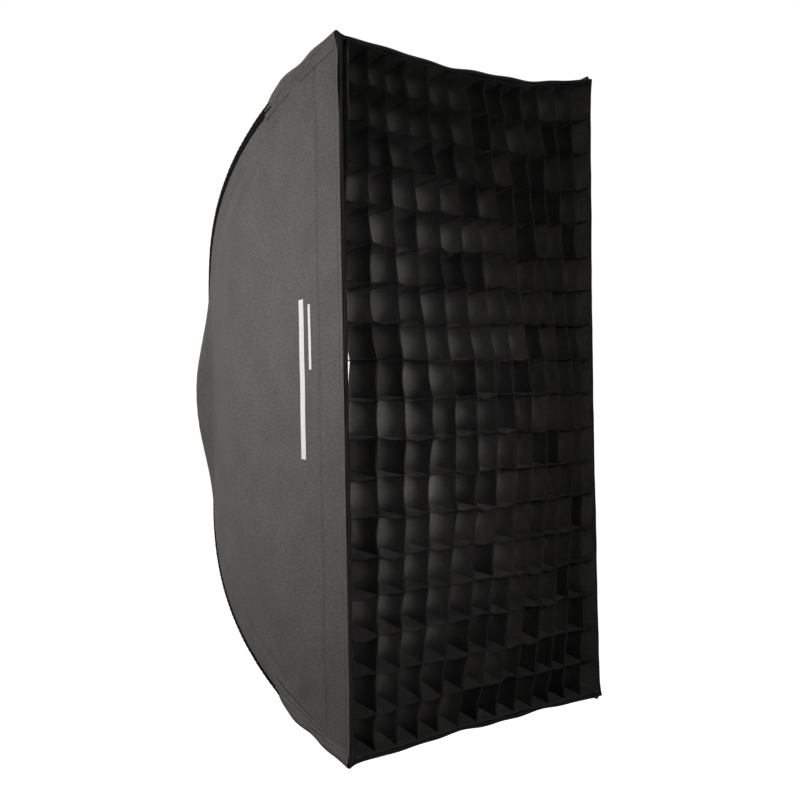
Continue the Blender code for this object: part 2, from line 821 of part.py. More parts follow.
def hinge_pin(corner):
    fix_to_ring(across_hinge("hinge_pin_" + corner, corner, FORK_HALF, PIN_R, STEEL))


# ---------------------------------------------------------------- release buttons
BUTTON_R, BUTTON_FRONT, BUTTON_REAR = 0.0026, 0.3080, 0.3195
BUTTON_ORIGIN = 0.3190  # depth of the button's origin
BUTTON_EDGE = 0.0005
SPRING_FRONT, SPRING_REAR = 0.3202, 0.3278
SPRING_R, SPRING_WIRE_R = 0.0018, 0.00030
SPRING_TURNS, POINTS_PER_TURN = 3, 8


def release_button(corner):
    slide = empty("button_axis_" + corner, at(corner, BUTTON_OUT, BUTTON_ORIGIN), ring_axis)
    button = cylinder(
        "release_button_" + corner,
        at(corner, BUTTON_OUT, BUTTON_FRONT),
        at(corner, BUTTON_OUT, BUTTON_REAR),
        BUTTON_R,
        RED,
    )
    edge = button.modifiers.new("edge", "BEVEL")
    edge.width = BUTTON_EDGE
    edge.segments = 1
    edge.limit_method = "ANGLE"
    hang_on(button, slide)


def button_spring(corner):
    """The coil in the well, behind the button."""
    middle = at(corner, BUTTON_OUT, 0)
    count = SPRING_TURNS * POINTS_PER_TURN
    points = []
    for i in range(count + 1):
        angle = 2 * math.pi * i / POINTS_PER_TURN
        depth = SPRING_FRONT + (SPRING_REAR - SPRING_FRONT) * i / count
        x = middle.x + SPRING_R * math.cos(angle)
        z = middle.z + SPRING_R * math.sin(angle)
        points.append((x, depth + RIM_Y, z))
    fix_to_ring(tube("button_spring_" + corner, points, SPRING_WIRE_R, 0, STEEL, 80))


# ---------------------------------------------------------------- build
for side_name in SIDES:
    side_panel(side_name)
collar()
front_lip_band()
egg_crate_grid()
grid_border()
diffuser(
    "front_diffuser",
    depth=0.0362,
    half_w=0.2586,
    half_h=0.3541,
    side_bow=SIDE_BOW,
    top_bow=TOP_BOW,
    belly=0.018,
    columns=6,
    rows=8,
)
diffuser(
    "inner_diffuser",
    depth=INNER_DIFFUSER_DEPTH,
    half_w=0.180,
    half_h=0.250,
    side_bow=0.012,
    top_bow=0.016,
    belly=0.0,
    columns=4,
    rows=4,
)
lamp_mount()
speed_ring()
for corner_name in CORNERS:
    seam_binding(corner_name)
    diffuser_strap(corner_name)
    rod(corner_name)
    rod_arm(corner_name)
    rod_clamp_screw(corner_name)
    tip_cup("rod_cap_" + corner_name, RUBBER, corner_name, **CAP)
    tip_cup("corner_pocket_" + corner_name, BLACK_FABRIC, corner_name, **POCKET)
    hinge_pin(corner_name)
    release_button(corner_name)
    button_spring(corner_name)
bpy.context.view_layer.update()
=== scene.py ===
"""Looks of the folding rectangular softbox: fabric shell, gathered collar, diffusers, egg-crate grid,
metal ring and rods.

Frame in metres: -Y out of the front, +Z up, the lamp axis on Y. Words used throughout:
  depth   the way behind the plane of the front rim
  run     the share of the way along a corner seam, from the collar (0) to the front rim (1)
  across  the place across a side, -1 to 1 from seam to seam, rising with X or Z
  reach   the distance of a corner seam from the axis
"""

import json
import math

import bmesh
import bpy
import numpy as np
from mathutils import Matrix, Vector, noise

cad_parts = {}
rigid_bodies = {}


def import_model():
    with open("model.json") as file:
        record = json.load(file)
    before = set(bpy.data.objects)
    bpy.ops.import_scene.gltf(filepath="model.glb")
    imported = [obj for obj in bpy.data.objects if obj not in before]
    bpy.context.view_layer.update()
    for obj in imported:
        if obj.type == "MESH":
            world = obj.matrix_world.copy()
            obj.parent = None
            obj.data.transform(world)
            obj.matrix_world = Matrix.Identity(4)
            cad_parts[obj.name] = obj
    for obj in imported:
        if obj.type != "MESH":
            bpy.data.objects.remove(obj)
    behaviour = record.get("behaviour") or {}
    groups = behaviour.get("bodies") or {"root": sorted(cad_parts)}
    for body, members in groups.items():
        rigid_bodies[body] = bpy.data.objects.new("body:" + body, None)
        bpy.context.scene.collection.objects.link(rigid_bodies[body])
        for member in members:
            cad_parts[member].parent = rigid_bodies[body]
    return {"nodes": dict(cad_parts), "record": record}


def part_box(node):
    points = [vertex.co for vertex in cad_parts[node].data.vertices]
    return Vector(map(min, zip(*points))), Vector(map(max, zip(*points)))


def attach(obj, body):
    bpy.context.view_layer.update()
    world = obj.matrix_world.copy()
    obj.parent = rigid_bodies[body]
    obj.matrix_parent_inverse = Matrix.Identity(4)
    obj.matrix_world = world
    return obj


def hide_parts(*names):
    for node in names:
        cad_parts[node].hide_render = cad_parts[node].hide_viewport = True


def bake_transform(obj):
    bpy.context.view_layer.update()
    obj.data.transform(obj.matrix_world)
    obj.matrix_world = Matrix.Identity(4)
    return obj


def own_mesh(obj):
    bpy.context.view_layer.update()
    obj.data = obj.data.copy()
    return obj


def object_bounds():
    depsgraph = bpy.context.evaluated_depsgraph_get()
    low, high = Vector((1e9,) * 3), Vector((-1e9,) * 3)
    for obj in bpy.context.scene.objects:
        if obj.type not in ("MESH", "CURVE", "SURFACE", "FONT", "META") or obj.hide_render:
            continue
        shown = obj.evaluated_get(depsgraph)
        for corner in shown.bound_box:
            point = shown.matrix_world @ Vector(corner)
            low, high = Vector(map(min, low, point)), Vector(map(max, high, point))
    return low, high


for old in list(bpy.data.objects):
    bpy.data.objects.remove(old, do_unlink=True)
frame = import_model()
CAD_LO, CAD_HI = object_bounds()
mounts = {mount["name"]: mount for mount in frame["record"]["mounts"]}

# ------------------------------------------------------------------ dimensions
REAR_DEPTH = 0.351
FRONT_Y = mounts["rear_face"]["pos_m"][1] - REAR_DEPTH
FRONT_W = CAD_HI.x - CAD_LO.x
FRONT_H = CAD_HI.z - CAD_LO.z
PANEL_DEPTH = 0.338
COLLAR_RADIUS = 0.066
CORNER_RADIUS = math.hypot(FRONT_W, FRONT_H) / 2
# unit direction of a corner from the axis
DIAG_X, DIAG_Z = FRONT_W / 2 / CORNER_RADIUS, FRONT_H / 2 / CORNER_RADIUS
SEAM_LINEAR, SEAM_CUBIC = 0.42, 0.58  # shares of the seam's fall in depth
SEAM_LENGTH = 0.55  # roughly, for spacing creases along a seam
ROUND_RUN = 0.34  # the shell is round at the collar and square from here on
# how far the middle of each side of the rim is drawn in: the top edge sags the most
BOWS = {"left": 0.001, "right": 0.006, "top": 0.0155, "bottom": 0.0035}
TOP_LEAN = 0.35  # how much more the top edge sags towards the right
STITCH_DEPTH, HEM_STITCH_DEPTH = 0.0385, 0.0062

CELLS_X, CELLS_Z = 13, 18
GRID_LO, GRID_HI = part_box("egg_crate_grid")
GRID_W, GRID_H, GRID_D = GRID_HI.x - GRID_LO.x + 0.006, GRID_HI.z - GRID_LO.z + 0.005, 0.034
GRID_HANG = FRONT_Y - CAD_LO.y - 0.0010
DIFFUSER_DEPTH, DIFFUSER_BELLY = 0.0362, 0.008
INNER_DIFFUSER_DEPTH = 0.150

CORNERS = {"tl": (-1, 1), "tr": (1, 1), "bl": (-1, -1), "br": (1, -1)}  # signs of x and z
# each side's corners, at across = -1 and at across = 1
SIDE_CORNERS = {
    "left": ("bl", "tl"), "right": ("br", "tr"), "top": ("tl", "tr"), "bottom": ("bl", "br"),
}
UPRIGHT = ("left", "right")


# ------------------------------------------------------------------ shape of the shell
def smooth(x):
    x = np.clip(x, 0.0, 1.0)
    return x * x * (3 - 2 * x)


def bell(offset, width):
    return np.exp(-((offset / width) ** 2))


def field_noise(points, scale, seed):
    """Smooth noise from -1 to 1 at each point."""
    flat = np.asarray(points, float).reshape(-1, 3)
    shift = Vector((seed * 3.17, seed * 1.71, seed * 2.39))
    values = np.array([noise.noise(Vector(point) * scale + shift) for point in flat])
    return values.reshape(np.asarray(points).shape[:-1])


def seam(run):
    """Reach and depth of a corner seam."""
    return (
        COLLAR_RADIUS + (CORNER_RADIUS - COLLAR_RADIUS) * run,
        PANEL_DEPTH * (1 - SEAM_LINEAR * run - SEAM_CUBIC * run**3),
    )


RUN_TABLE = np.linspace(0, 1, 400)
DEPTH_TABLE = seam(RUN_TABLE)[1]


def run_at(depth):
    return np.interp(-np.asarray(depth, float), -DEPTH_TABLE, RUN_TABLE)


def roundness(run):
    return 1 - smooth(run / ROUND_RUN)


def half_angle(side):
    """Half of the angle a side takes up round the collar."""
    return math.atan2(DIAG_Z, DIAG_X) if side in UPRIGHT else math.atan2(DIAG_X, DIAG_Z)


def side_length(side, run):
    """Length from the middle of a side to its seam."""
    reach = seam(run)[0]
    circle = roundness(run)
    straight = DIAG_Z if side in UPRIGHT else DIAG_X
    return (1 - circle) * reach * straight + circle * reach * half_angle(side)


def wall(side, run, across, inset=0.0):
    """Points of the shell's outer surface. Arrays in, (..., 3) out."""
    run, across = np.broadcast_arrays(np.asarray(run, float), np.asarray(across, float))
    reach, depth = seam(run)
    circle = roundness(run)
    half_w, half_h = reach * DIAG_X - inset, reach * DIAG_Z - inset
    radius = reach - inset
    swell = run * (1 + 0.6 * (1 - run))
    bow = BOWS[side] * swell * (1 - across * across)
    angle = across * half_angle(side)
    if side in UPRIGHT:
        x = (1 - circle) * (half_w - bow) + circle * radius * np.cos(angle)
        z = (1 - circle) * half_h * across + circle * radius * np.sin(angle)
        return np.stack([-x if side == "left" else x, depth + FRONT_Y, z], -1)
    lean = TOP_LEAN if side == "top" else 0.0
    ripple = 0.0013 * np.sin(8.5 * across + 0.4) + 0.0008 * np.sin(19 * across + 2)
    uneven = ripple * swell * (1 - across * across)
    z = (1 - circle) * (half_h + uneven - bow * (1 + lean * across)) + circle * radius * np.cos(angle)
    x = (1 - circle) * half_w * across + circle * radius * np.sin(angle)
    return np.stack([x, depth + FRONT_Y, z if side == "top" else -z], -1)


def gathers(angle):
    """The main folds of cloth drawn round the ring."""
    return np.sin(angle * 46 + 2 * np.sin(angle * 5))


# ------------------------------------------------------------------ materials
def set_inputs(tree, node, inputs):
    """Sets inputs, by socket name or number, to a value or to a link from an output."""
    for socket, value in inputs.items():
        if isinstance(value, bpy.types.NodeSocket):
            tree.links.new(value, node.inputs[socket])
        else:
            node.inputs[socket].default_value = value


def add_node(tree, kind, inputs=None, **settings):
    node = tree.nodes.new(kind)
    for key, value in settings.items():
        setattr(node, key, value)
    set_inputs(tree, node, inputs or {})
    return node


class Look:
    """A procedural Principled material, with small helpers for its nodes."""

    def __init__(self, name, colour, roughness, metallic=0.0, uv=False):
        self.material = bpy.data.materials.new(name)
        self.material.use_nodes = True
        self.tree = self.material.node_tree
        self.colour = colour
        self.set({"Base Color": (*colour, 1), "Roughness": roughness, "Metallic": metallic})
        if uv:
            self.coords = self.add("ShaderNodeUVMap", uv_map="cloth").outputs[0]
        else:
            self.coords = self.add("ShaderNodeTexCoord").outputs["Object"]

    def set(self, inputs):
        set_inputs(self.tree, self.tree.nodes["Principled BSDF"], inputs)

    def add(self, kind, inputs=None, **settings):
        return add_node(self.tree, kind, inputs, **settings)

    def wave(self, period, direction):
        scale = 2 * math.pi / (20 * period)
        inputs = {"Scale": scale, "Vector": self.coords}
        return self.add("ShaderNodeTexWave", inputs, bands_direction=direction).outputs["Fac"]

    def noise(self, size, detail, rough, stretch=None):
        source = self.coords
        if stretch:
            source = self.add("ShaderNodeMapping", {"Scale": stretch, "Vector": source}).outputs[0]
        inputs = {"Scale": 1 / size, "Detail": detail, "Roughness": rough, "Vector": source}
        return self.add("ShaderNodeTexNoise", inputs).outputs["Fac"]

    def calc(self, operation, *values):
        return self.add("ShaderNodeMath", dict(enumerate(values)), operation=operation).outputs[0]

    def ramp(self, signal, out_low, out_high, low=0.3, high=0.7):
        inputs = {
            "From Min": low, "From Max": high, "To Min": out_low, "To Max": out_high, "Value": signal,
        }
        return self.add("ShaderNodeMapRange", inputs).outputs[0]

    def vary(self, signal, amount, low=0.3, high=0.7):
        """A factor around 1 that strays by amount."""
        return self.ramp(signal, 1 - amount, 1 + amount, low, high)

    def shade(self, factor):
        """Multiplies the base colour by a factor signal."""
        inputs = {0: self.colour, "Scale": factor}
        scaled = self.add("ShaderNodeVectorMath", inputs, operation="SCALE")
        self.set({"Base Color": scaled.outputs[0]})

    def bump(self, height, distance, strength=1.0):
        inputs = {"Distance": distance, "Strength": strength, "Height": height}
        self.set({"Normal": self.add("ShaderNodeBump", inputs).outputs[0]})


def cloth_look(
    name, colour, roughness=0.9, thread=0.0009, sheen=0.0, uv=True, blotch=0.10, grain=0.16,
    bump=0.00012, reads_painted_shading=False, streak=0.0, specular=0.25,
):
    """Woven cloth. thread is the weave's period, bump its height. grain, blotch and streak are how far
    the threads, the soft patches and the short dashes vary the colour. The flag for painted shading
    multiplies the colour by a vertex attribute that holds painted light and shade for the grid walls."""
    look = Look(name, colour, roughness, uv=uv)
    warp = look.wave(thread, "X")
    weft = look.wave(thread, "Y")
    weave = look.calc("MULTIPLY", warp, weft)
    weave = look.calc("ADD", weave, look.calc("MULTIPLY", look.calc("ADD", warp, weft), 0.25))
    slub = look.noise(size=thread * 2.2, detail=4.0, rough=0.7)
    cloud = look.noise(size=0.05, detail=3.0, rough=0.5)
    fine = look.noise(size=0.006, detail=3.0, rough=0.6)
    factor = look.calc("ADD", look.vary(weave, grain, low=0, high=1.5), look.ramp(slub, -grain, grain))
    factor = look.calc("MULTIPLY", factor, look.vary(cloud, blotch))
    factor = look.calc("MULTIPLY", factor, look.vary(fine, blotch * 0.6))
    if streak:
        dash = look.noise(size=0.0018, detail=2.0, rough=0.6, stretch=(1.0, 0.22, 1.0))
        factor = look.calc("MULTIPLY", factor, look.vary(dash, streak, low=0.32, high=0.68))
    if reads_painted_shading:
        # painted light and shade of the grid walls, read from a vertex attribute
        wear = look.add("ShaderNodeAttribute", attribute_name="wear")
        factor = look.calc("MULTIPLY", factor, wear.outputs["Fac"])
    look.shade(factor)
    height = look.calc("ADD", weave, look.calc("MULTIPLY", slub, 0.8))
    look.bump(height, distance=bump, strength=0.9)
    look.set({
        "Roughness": look.ramp(cloud, roughness - 0.05, roughness + 0.05),
        "Sheen Weight": sheen,
        "Sheen Roughness": 0.5,
        "Specular IOR Level": specular,
    })
    return look.material


SHELL = cloth_look(
    "shell_fabric_weave", (0.122, 0.114, 0.106), roughness=0.82, thread=0.0011, sheen=0.10,
    grain=0.20, streak=0.13,
)
# a lighter copy of the shell fabric for the panels' cut edges: painted highlight
SHELL_EDGE_HIGHLIGHT = cloth_look("shell_hem_weave", (0.170, 0.160, 0.149), roughness=0.80, sheen=0.3)
BLACK = cloth_look(
    "black_fabric_weave", (0.0350, 0.0340, 0.0325), thread=0.0010, blotch=0.18, specular=0.15,
)
# grid fabric; its colour is multiplied by painted light and shade stored per vertex
GRID = cloth_look(
    "grid_fabric_weave", (0.0740, 0.0714, 0.0668), blotch=0.12, reads_painted_shading=True, specular=0.2,
)
BORDER = cloth_look("border_fabric_weave", (0.0560, 0.0540, 0.0510), blotch=0.25, specular=0.2)
# the grid fabric in its own tone for the strips' front edges: painted highlight, lighter than the shaded
# wall fronts
GRID_EDGE_HIGHLIGHT = cloth_look("grid_edge_weave", (0.044, 0.0425, 0.040), blotch=0.2, specular=0.15)
# the border fabric painted pale on the border band's front and rear edges: painted highlight
BORDER_EDGE_HIGHLIGHT = cloth_look("border_edge_weave", (0.240, 0.233, 0.222), blotch=0.2, specular=0.15)
TAPE = cloth_look(
    "binding_tape_ribs", (0.0095, 0.0094, 0.0094), roughness=0.85, thread=0.0016, grain=0.3,
    bump=0.0003, specular=0.08,
)
WHITE = cloth_look(
    "diffusion_cloth_weave", (0.80, 0.80, 0.79), roughness=0.7, thread=0.0008, sheen=0.1,
    grain=0.03, blotch=0.02,
)
LINING = cloth_look(
    "silver_lining_weave", (0.55, 0.55, 0.56), roughness=0.42, thread=0.0012, grain=0.08,
)
PRINT = cloth_look(
    "plain_print_ink", (0.86, 0.86, 0.85), roughness=0.6, thread=0.0011, grain=0.05, blotch=0.03,
)
THREAD = cloth_look(
    "sewing_thread_twist", (0.060, 0.056, 0.052), roughness=0.6, thread=0.0005, sheen=0.3,
)
ELASTIC = cloth_look(
    "elastic_cord_braid", (0.03, 0.03, 0.031), roughness=0.75, thread=0.0012, sheen=0.3, uv=False,
    bump=0.0003,
)


def let_light_through(material, colour, share):
    """Mixes a share of translucency into a material."""
    tree = material.node_tree
    translucent = add_node(tree, "ShaderNodeBsdfTranslucent", {0: (*colour, 1)})
    surface = tree.nodes["Principled BSDF"].outputs[0]
    mix = add_node(tree, "ShaderNodeMixShader", {0: share, 1: surface, 2: translucent.outputs[0]})
    set_inputs(tree, tree.nodes["Material Output"], {0: mix.outputs[0]})


let_light_through(WHITE, colour=(0.8, 0.8, 0.79), share=0.35)


def hard_look(name, colour, roughness, metallic, grain, bump):
    """Metal or plastic with a fine grain of the given size and height, and faint dirt."""
    look = Look(name, colour, roughness, metallic)
    speck = look.noise(size=grain, detail=4.0, rough=0.6)
    dirt = look.noise(size=0.012, detail=3.0, rough=0.55)
    look.shade(look.calc("MULTIPLY", look.ramp(speck, 0.88, 1.10), look.ramp(dirt, 0.90, 1.06)))
    rough_speck = look.ramp(speck, roughness - 0.06, roughness + 0.08)
    look.set({"Roughness": look.calc("ADD", rough_speck, look.ramp(dirt, 0.0, 0.08, low=0.4))})
    look.bump(speck, distance=bump)
    return look.material


def turned_metal():
    """Anodised aluminium with the fine circles that turning leaves."""
    look = Look("turned_aluminium", (0.66, 0.66, 0.67), roughness=0.28, metallic=1.0)
    split = look.add("ShaderNodeSeparateXYZ", {0: look.coords})
    squares = [look.calc("POWER", split.outputs[axis], 2.0) for axis in "XZ"]
    radius = look.calc("SQRT", look.calc("ADD", *squares))
    ring_pitch = 0.00035
    travel = look.calc("ADD", radius, split.outputs["Y"])
    rings = look.calc("SINE", look.calc("MULTIPLY", travel, 2 * math.pi / ring_pitch))
    dirt = look.noise(size=0.01, detail=3.0, rough=0.6)
    ring_shade = look.ramp(rings, 0.95, 1.04, low=-1, high=1)
    look.shade(look.calc("MULTIPLY", ring_shade, look.ramp(dirt, 0.92, 1.05)))
    look.set({"Roughness": look.ramp(dirt, 0.24, 0.36)})
    look.bump(rings, distance=0.00001)
    return look.material


CAST = hard_look(
    "cast_black_coat", (0.028, 0.028, 0.030), roughness=0.48, metallic=0.25, grain=0.0009, bump=0.00012,
)
STEEL = hard_look(
    "zinc_steel", (0.55, 0.56, 0.57), roughness=0.30, metallic=1.0, grain=0.0006, bump=0.00003,
)
SPRING = hard_look(
    "black_spring_steel", (0.060, 0.060, 0.063), roughness=0.33, metallic=0.9, grain=0.0008,
    bump=0.00002,
)
RUBBER = hard_look(
    "moulded_rubber", (0.022, 0.022, 0.022), roughness=0.75, metallic=0.0, grain=0.0007, bump=0.00008,
)
NYLON = hard_look(
    "nylon_washer", (0.035, 0.035, 0.036), roughness=0.5, metallic=0.0, grain=0.0010, bump=0.00004,
)
RED = hard_look(
    "red_button_plastic", (0.42, 0.018, 0.016), roughness=0.38, metallic=0.0, grain=0.0007,
    bump=0.00003,
)
ALU = turned_metal()


def fold_in(piece, replaced=None):
    """Bakes a piece's transform and hides the imported part it replaces, if any."""
    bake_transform(piece)
    coords = np.zeros(len(piece.data.vertices) * 3)
    piece.data.vertices.foreach_get("co", coords)
    if replaced:
        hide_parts(replaced)


# ------------------------------------------------------------------ sheets
def add_object(name, data):
    obj = bpy.data.objects.new(name, data)
    bpy.context.scene.collection.objects.link(obj)
    return obj


def normals_of(points, outward, closed=False):
    """Unit normals of a grid of points, on the side outward points to."""
    if closed:
        along_row = np.roll(points, -1, 1) - np.roll(points, 1, 1)
    else:
        along_row = np.gradient(points, axis=1)
    normals = np.cross(np.gradient(points, axis=0), along_row)
    normals /= np.maximum(np.linalg.norm(normals, axis=-1, keepdims=True), 1e-12)
    return -normals if (normals * outward).sum() < 0 else normals


def from_axis(points):
    """Outward directions for parts of the shell."""
    return points * np.array([1, 0, 1.0]) + np.array([0, 0.02, 0])


def arc_lengths(points):
    """UVs in metres of cloth, from the middle column and the last row."""
    down = np.linalg.norm(np.diff(points, axis=0), axis=-1)
    over = np.linalg.norm(np.diff(points, axis=1), axis=-1)
    down = np.concatenate([np.zeros((1, points.shape[1])), np.cumsum(down, 0)])
    over = np.concatenate([np.zeros((points.shape[0], 1)), np.cumsum(over, 1)], 1)
    over -= over[:, over.shape[1] // 2][:, None]
    return np.stack([over, down - down[-1:, :]], -1)


def grid_uv(row_lengths, col_lengths):
    """UVs from the lengths along the columns and down the rows."""
    return np.stack(np.broadcast_arrays(col_lengths[None, :], row_lengths[:, None]), -1)


def make_mesh(name, verts, faces, normals, uvs, material_ids, materials):
    mesh = bpy.data.meshes.new(name)
    mesh.from_pydata([tuple(vert) for vert in verts], [], [tuple(face) for face in faces])
    for material in materials:
        mesh.materials.append(material)
    mesh.polygons.foreach_set("material_index", np.asarray(material_ids, np.int32))
    mesh.polygons.foreach_set("use_smooth", np.ones(len(faces), bool))
    layer = mesh.uv_layers.new(name="cloth")
    loops = np.zeros(len(mesh.loops), np.int32)
    mesh.loops.foreach_get("vertex_index", loops)
    layer.data.foreach_set("uv", np.asarray(uvs, np.float32)[loops].ravel())
    mesh.update()
    if normals is not None:
        mesh.normals_split_custom_set_from_vertices([tuple(normal) for normal in normals])
    return add_object(name, mesh)


def wound_quads(index, verts, normals):
    """Quads over a grid of vertex numbers, wound to face along the normals, and whether they were
    turned round for that."""
    corners = [index[:-1, :-1], index[:-1, 1:], index[1:, 1:], index[1:, :-1]]
    quads = np.stack(corners, -1).reshape(-1, 4)
    start, side, _, below = quads[len(quads) // 2]
    face_normal = np.cross(verts[side] - verts[start], verts[below] - verts[start])
    flip = face_normal @ normals[start] < 0
    return (quads[:, ::-1] if flip else quads), flip


def solid_sheet(outer, inner, normals, uv, rims=(1, 1, 1, 1), wrap=False):
    """Vertices, normals, UVs and groups of faces (outer, inner, then each rim) of a sheet with real
    thickness. rims says which edges are closed: first row, last row, first column, last column."""
    count = outer.shape[0] * outer.shape[1]
    verts = np.concatenate([outer.reshape(-1, 3), inner.reshape(-1, 3)])
    norms = np.concatenate([normals.reshape(-1, 3), -normals.reshape(-1, 3)])
    uvs = np.concatenate([uv.reshape(-1, 2)] * 2)
    index = np.arange(count).reshape(outer.shape[:2])
    if wrap:
        index = np.concatenate([index, index[:, :1]], 1)
    front, flip = wound_quads(index, verts, norms)
    groups = [front, front[:, ::-1] + count]
    edges = ((index[0], True), (index[-1], False), (index[:, 0], False), (index[:, -1], True))
    for (line, reverse), wanted in zip(edges, rims):
        if wanted:
            quads = np.stack([line[:-1], line[1:], line[1:] + count, line[:-1] + count], -1)
            groups.append(quads[:, ::-1] if reverse != flip else quads)
    return verts, norms, uvs, groups


def cloth(
    name, points, thickness, outward, uv, materials, part=np.s_[:, :], rims=(1, 1, 1, 1),
    inner_id=0, rim_id=0, closed=False,
):
    """A sheet of cloth from a grid of outer points. part picks what is built, so that neighbouring
    parts share their edge points and normals. closed joins the last column to the first."""
    normals = normals_of(points, outward, closed)[part]
    outer = points[part]
    wrap = closed and outer.shape[1] == points.shape[1]
    verts, norms, uvs, groups = solid_sheet(
        outer, outer - normals * thickness, normals, uv[part], rims, wrap
    )
    group_ids = [0, inner_id] + [rim_id] * (len(groups) - 2)
    ids = np.repeat(group_ids, [len(group) for group in groups])
    return make_mesh(name, verts, np.concatenate(groups), norms, uvs, ids, materials)


# ------------------------------------------------------------------ side panels
PANEL_COLS = 128  # even, so that the middle line is a column
even_cols = np.linspace(-1, 1, PANEL_COLS + 1)
PANEL_ACROSS = even_cols * (1.30 - 0.30 * even_cols * even_cols)
# rows are close together at the hem and at the row of stitches
FRONT_DEPTHS = np.concatenate([
    np.arange(0, 0.012, 0.001), np.arange(0.012, 0.034, 0.003), np.arange(0.034, 0.043, 0.0008),
])
front_runs = run_at(FRONT_DEPTHS)[::-1]
PANEL_RUNS = np.concatenate([np.linspace(0.0, front_runs[0] - 0.009, 78), front_runs])
PANEL_SEEDS = {"left": 1, "right": 2, "top": 3, "bottom": 4}
# how hard the cloth pulls at a side's ends
PULLS = {("left", 1): 1.0, ("left", -1): 0.75}
OTHER_PULL = 0.8
PULL_START = 0.085  # how far behind the rim the pulls begin
# creases beside a rod: start from the seam, drift from it, width, height, fade in, fade out
CREASES = (
    (0.020, 0.10, 0.006, 0.0042, 0.02, 0.10),
    (0.040, 0.22, 0.009, 0.0022, 0.03, 0.07),
)


def panel_relief(side, run, across, points):
    """Height of the cloth over its stretched shape, along the outward normal."""
    reach, depth = seam(run)
    half = side_length(side, run)
    from_seam = (1 - np.abs(across)) * half
    from_rim = (1 - run) * SEAM_LENGTH
    seed = PANEL_SEEDS[side]
    wobble = field_noise(points, 7.0, seed) * 0.0016 + field_noise(points, 22.0, seed + 9) * 0.0005
    height = wobble * smooth(from_seam / 0.05) * smooth(depth / 0.03 + 0.25)
    for end in (-1, 1):
        strength = PULLS.get((side, end), OTHER_PULL)
        to_seam = (1 - end * across) * half
        along = from_rim - PULL_START
        behind = np.clip(along, 0, 1)
        # pull lines that run in from the rod end
        distance = np.hypot(to_seam, along)
        angle = np.arctan2(to_seam, along)
        lines = np.sin(angle * 7 + seed + end) * 0.65 + np.sin(angle * 12 + 2.0 * seed) * 0.35
        height += strength * 0.0034 * lines * np.exp(-distance / 0.060) * smooth(distance / 0.045)
        # long soft creases beside the rod, from the sleeve towards the collar
        for start, drift, width, crease_height, fade_in, fade_out in CREASES:
            crease = bell(to_seam - start - drift * behind, width)
            fade = smooth(along / fade_in) * np.exp(-behind / fade_out)
            height -= strength * crease_height * crease * fade
    height = height * smooth((from_seam - 0.001) / 0.012)
    # puckers along the sewn seams, 17 mm apart
    pucker = np.sin(run * SEAM_LENGTH * 2 * math.pi / 0.017 + 3 * np.sin(run * 21 + seed))
    height += 0.00045 * pucker * np.exp(-from_seam / 0.010) * smooth(from_seam / 0.003)
    # the groove of the stitches that hold the inner lip, and the puckered swell behind it
    height -= 0.0007 * bell(depth - STITCH_DEPTH, 0.0011)
    ripple = 1 + 0.7 * np.sin(across * half * 2 * math.pi / 0.021)
    height += 0.0004 * bell(depth - STITCH_DEPTH - 0.004, 0.003) * ripple
    # the raised front hem and its stitch groove
    height += 0.0007 * (1 - smooth((depth - 0.0075) / 0.0015))
    height -= 0.0004 * bell(depth - HEM_STITCH_DEPTH, 0.0009)
    # gathers where the panel is drawn round the ring
    folds = gathers(np.arctan2(points[..., 2], points[..., 0]))
    height += 0.0007 * folds * np.exp(-np.clip(reach - COLLAR_RADIUS, 0, 1) / 0.022)
    return height


panel_surfaces = {}  # finished points and stretched normals of each side


def side_panel(side):
    """One side of the shell, as two halves that meet on its middle line."""
    run, across = np.meshgrid(PANEL_RUNS, PANEL_ACROSS, indexing="ij")
    stretched = wall(side, run, across)
    outward = from_axis(stretched)
    normals = normals_of(stretched, outward)
    points = stretched + normals * panel_relief(side, run, across, stretched)[..., None]
    panel_surfaces[side] = (points, normals)
    middle = PANEL_COLS // 2
    parts = (np.s_[:, : middle + 1], np.s_[:, middle:])
    names = ("lower", "upper") if side in UPRIGHT else ("left", "right")
    for half, corner in enumerate(SIDE_CORNERS[side]):
        # the rims get the shell fabric's painted highlight
        piece = cloth(
            f"side_panel_{side}_{names[half]}", points, 0.0008, outward, arc_lengths(stretched),
            [SHELL, LINING, SHELL_EDGE_HIGHLIGHT], parts[half], rims=(1, 1, half == 0, half == 1),
            inner_id=1, rim_id=2,
        )
        fold_in(piece, "side_panel_" + side)


for side in SIDE_CORNERS:
    side_panel(side)


# ------------------------------------------------------------------ seam bindings and rod sleeves
def over_seam(corner, run, offset, lift):
    """Points over a seam. offset is the way from the ridge, negative onto the left or right panel,
    positive onto the top or bottom one. lift is the height over the fabric."""
    sx, sz = CORNERS[corner]
    upright = "left" if sx < 0 else "right"
    level = "top" if sz > 0 else "bottom"
    across_upright = sz * (1 - np.clip(-offset, 0, 1) / side_length(upright, run))
    across_level = sx * (1 - np.clip(offset, 0, 1) / side_length(level, run))
    on_upright = wall(upright, run, across_upright)
    on_level = wall(level, run, across_level)
    points = np.where((offset < 0)[..., None], on_upright, on_level)
    circle = roundness(run)[..., None]
    turn = np.clip(0.5 + offset / 0.004, 0, 1)[..., None]  # from the upright to the level panel
    square = np.array([sx, 0, 0]) * (1 - turn) + np.array([0, 0, sz]) * turn
    ridge = np.array([sx * DIAG_X, 0, sz * DIAG_Z])
    normals = square * (1 - circle) + ridge * circle + np.array([0, 0.35, 0])
    normals /= np.linalg.norm(normals, axis=-1, keepdims=True)
    return points + normals * lift[..., None]


TAPE_OFFSETS = np.array([-0.0026, -0.0021, -0.0008, 0.0, 0.0010, 0.0032, 0.0056, 0.0076, 0.0081])
# the panel each tape's wide half lies on: -1 the left or right one, 1 the top or bottom one
FOLDED_ONTO = {"tl": -1, "bl": 1, "br": -1, "tr": 1}


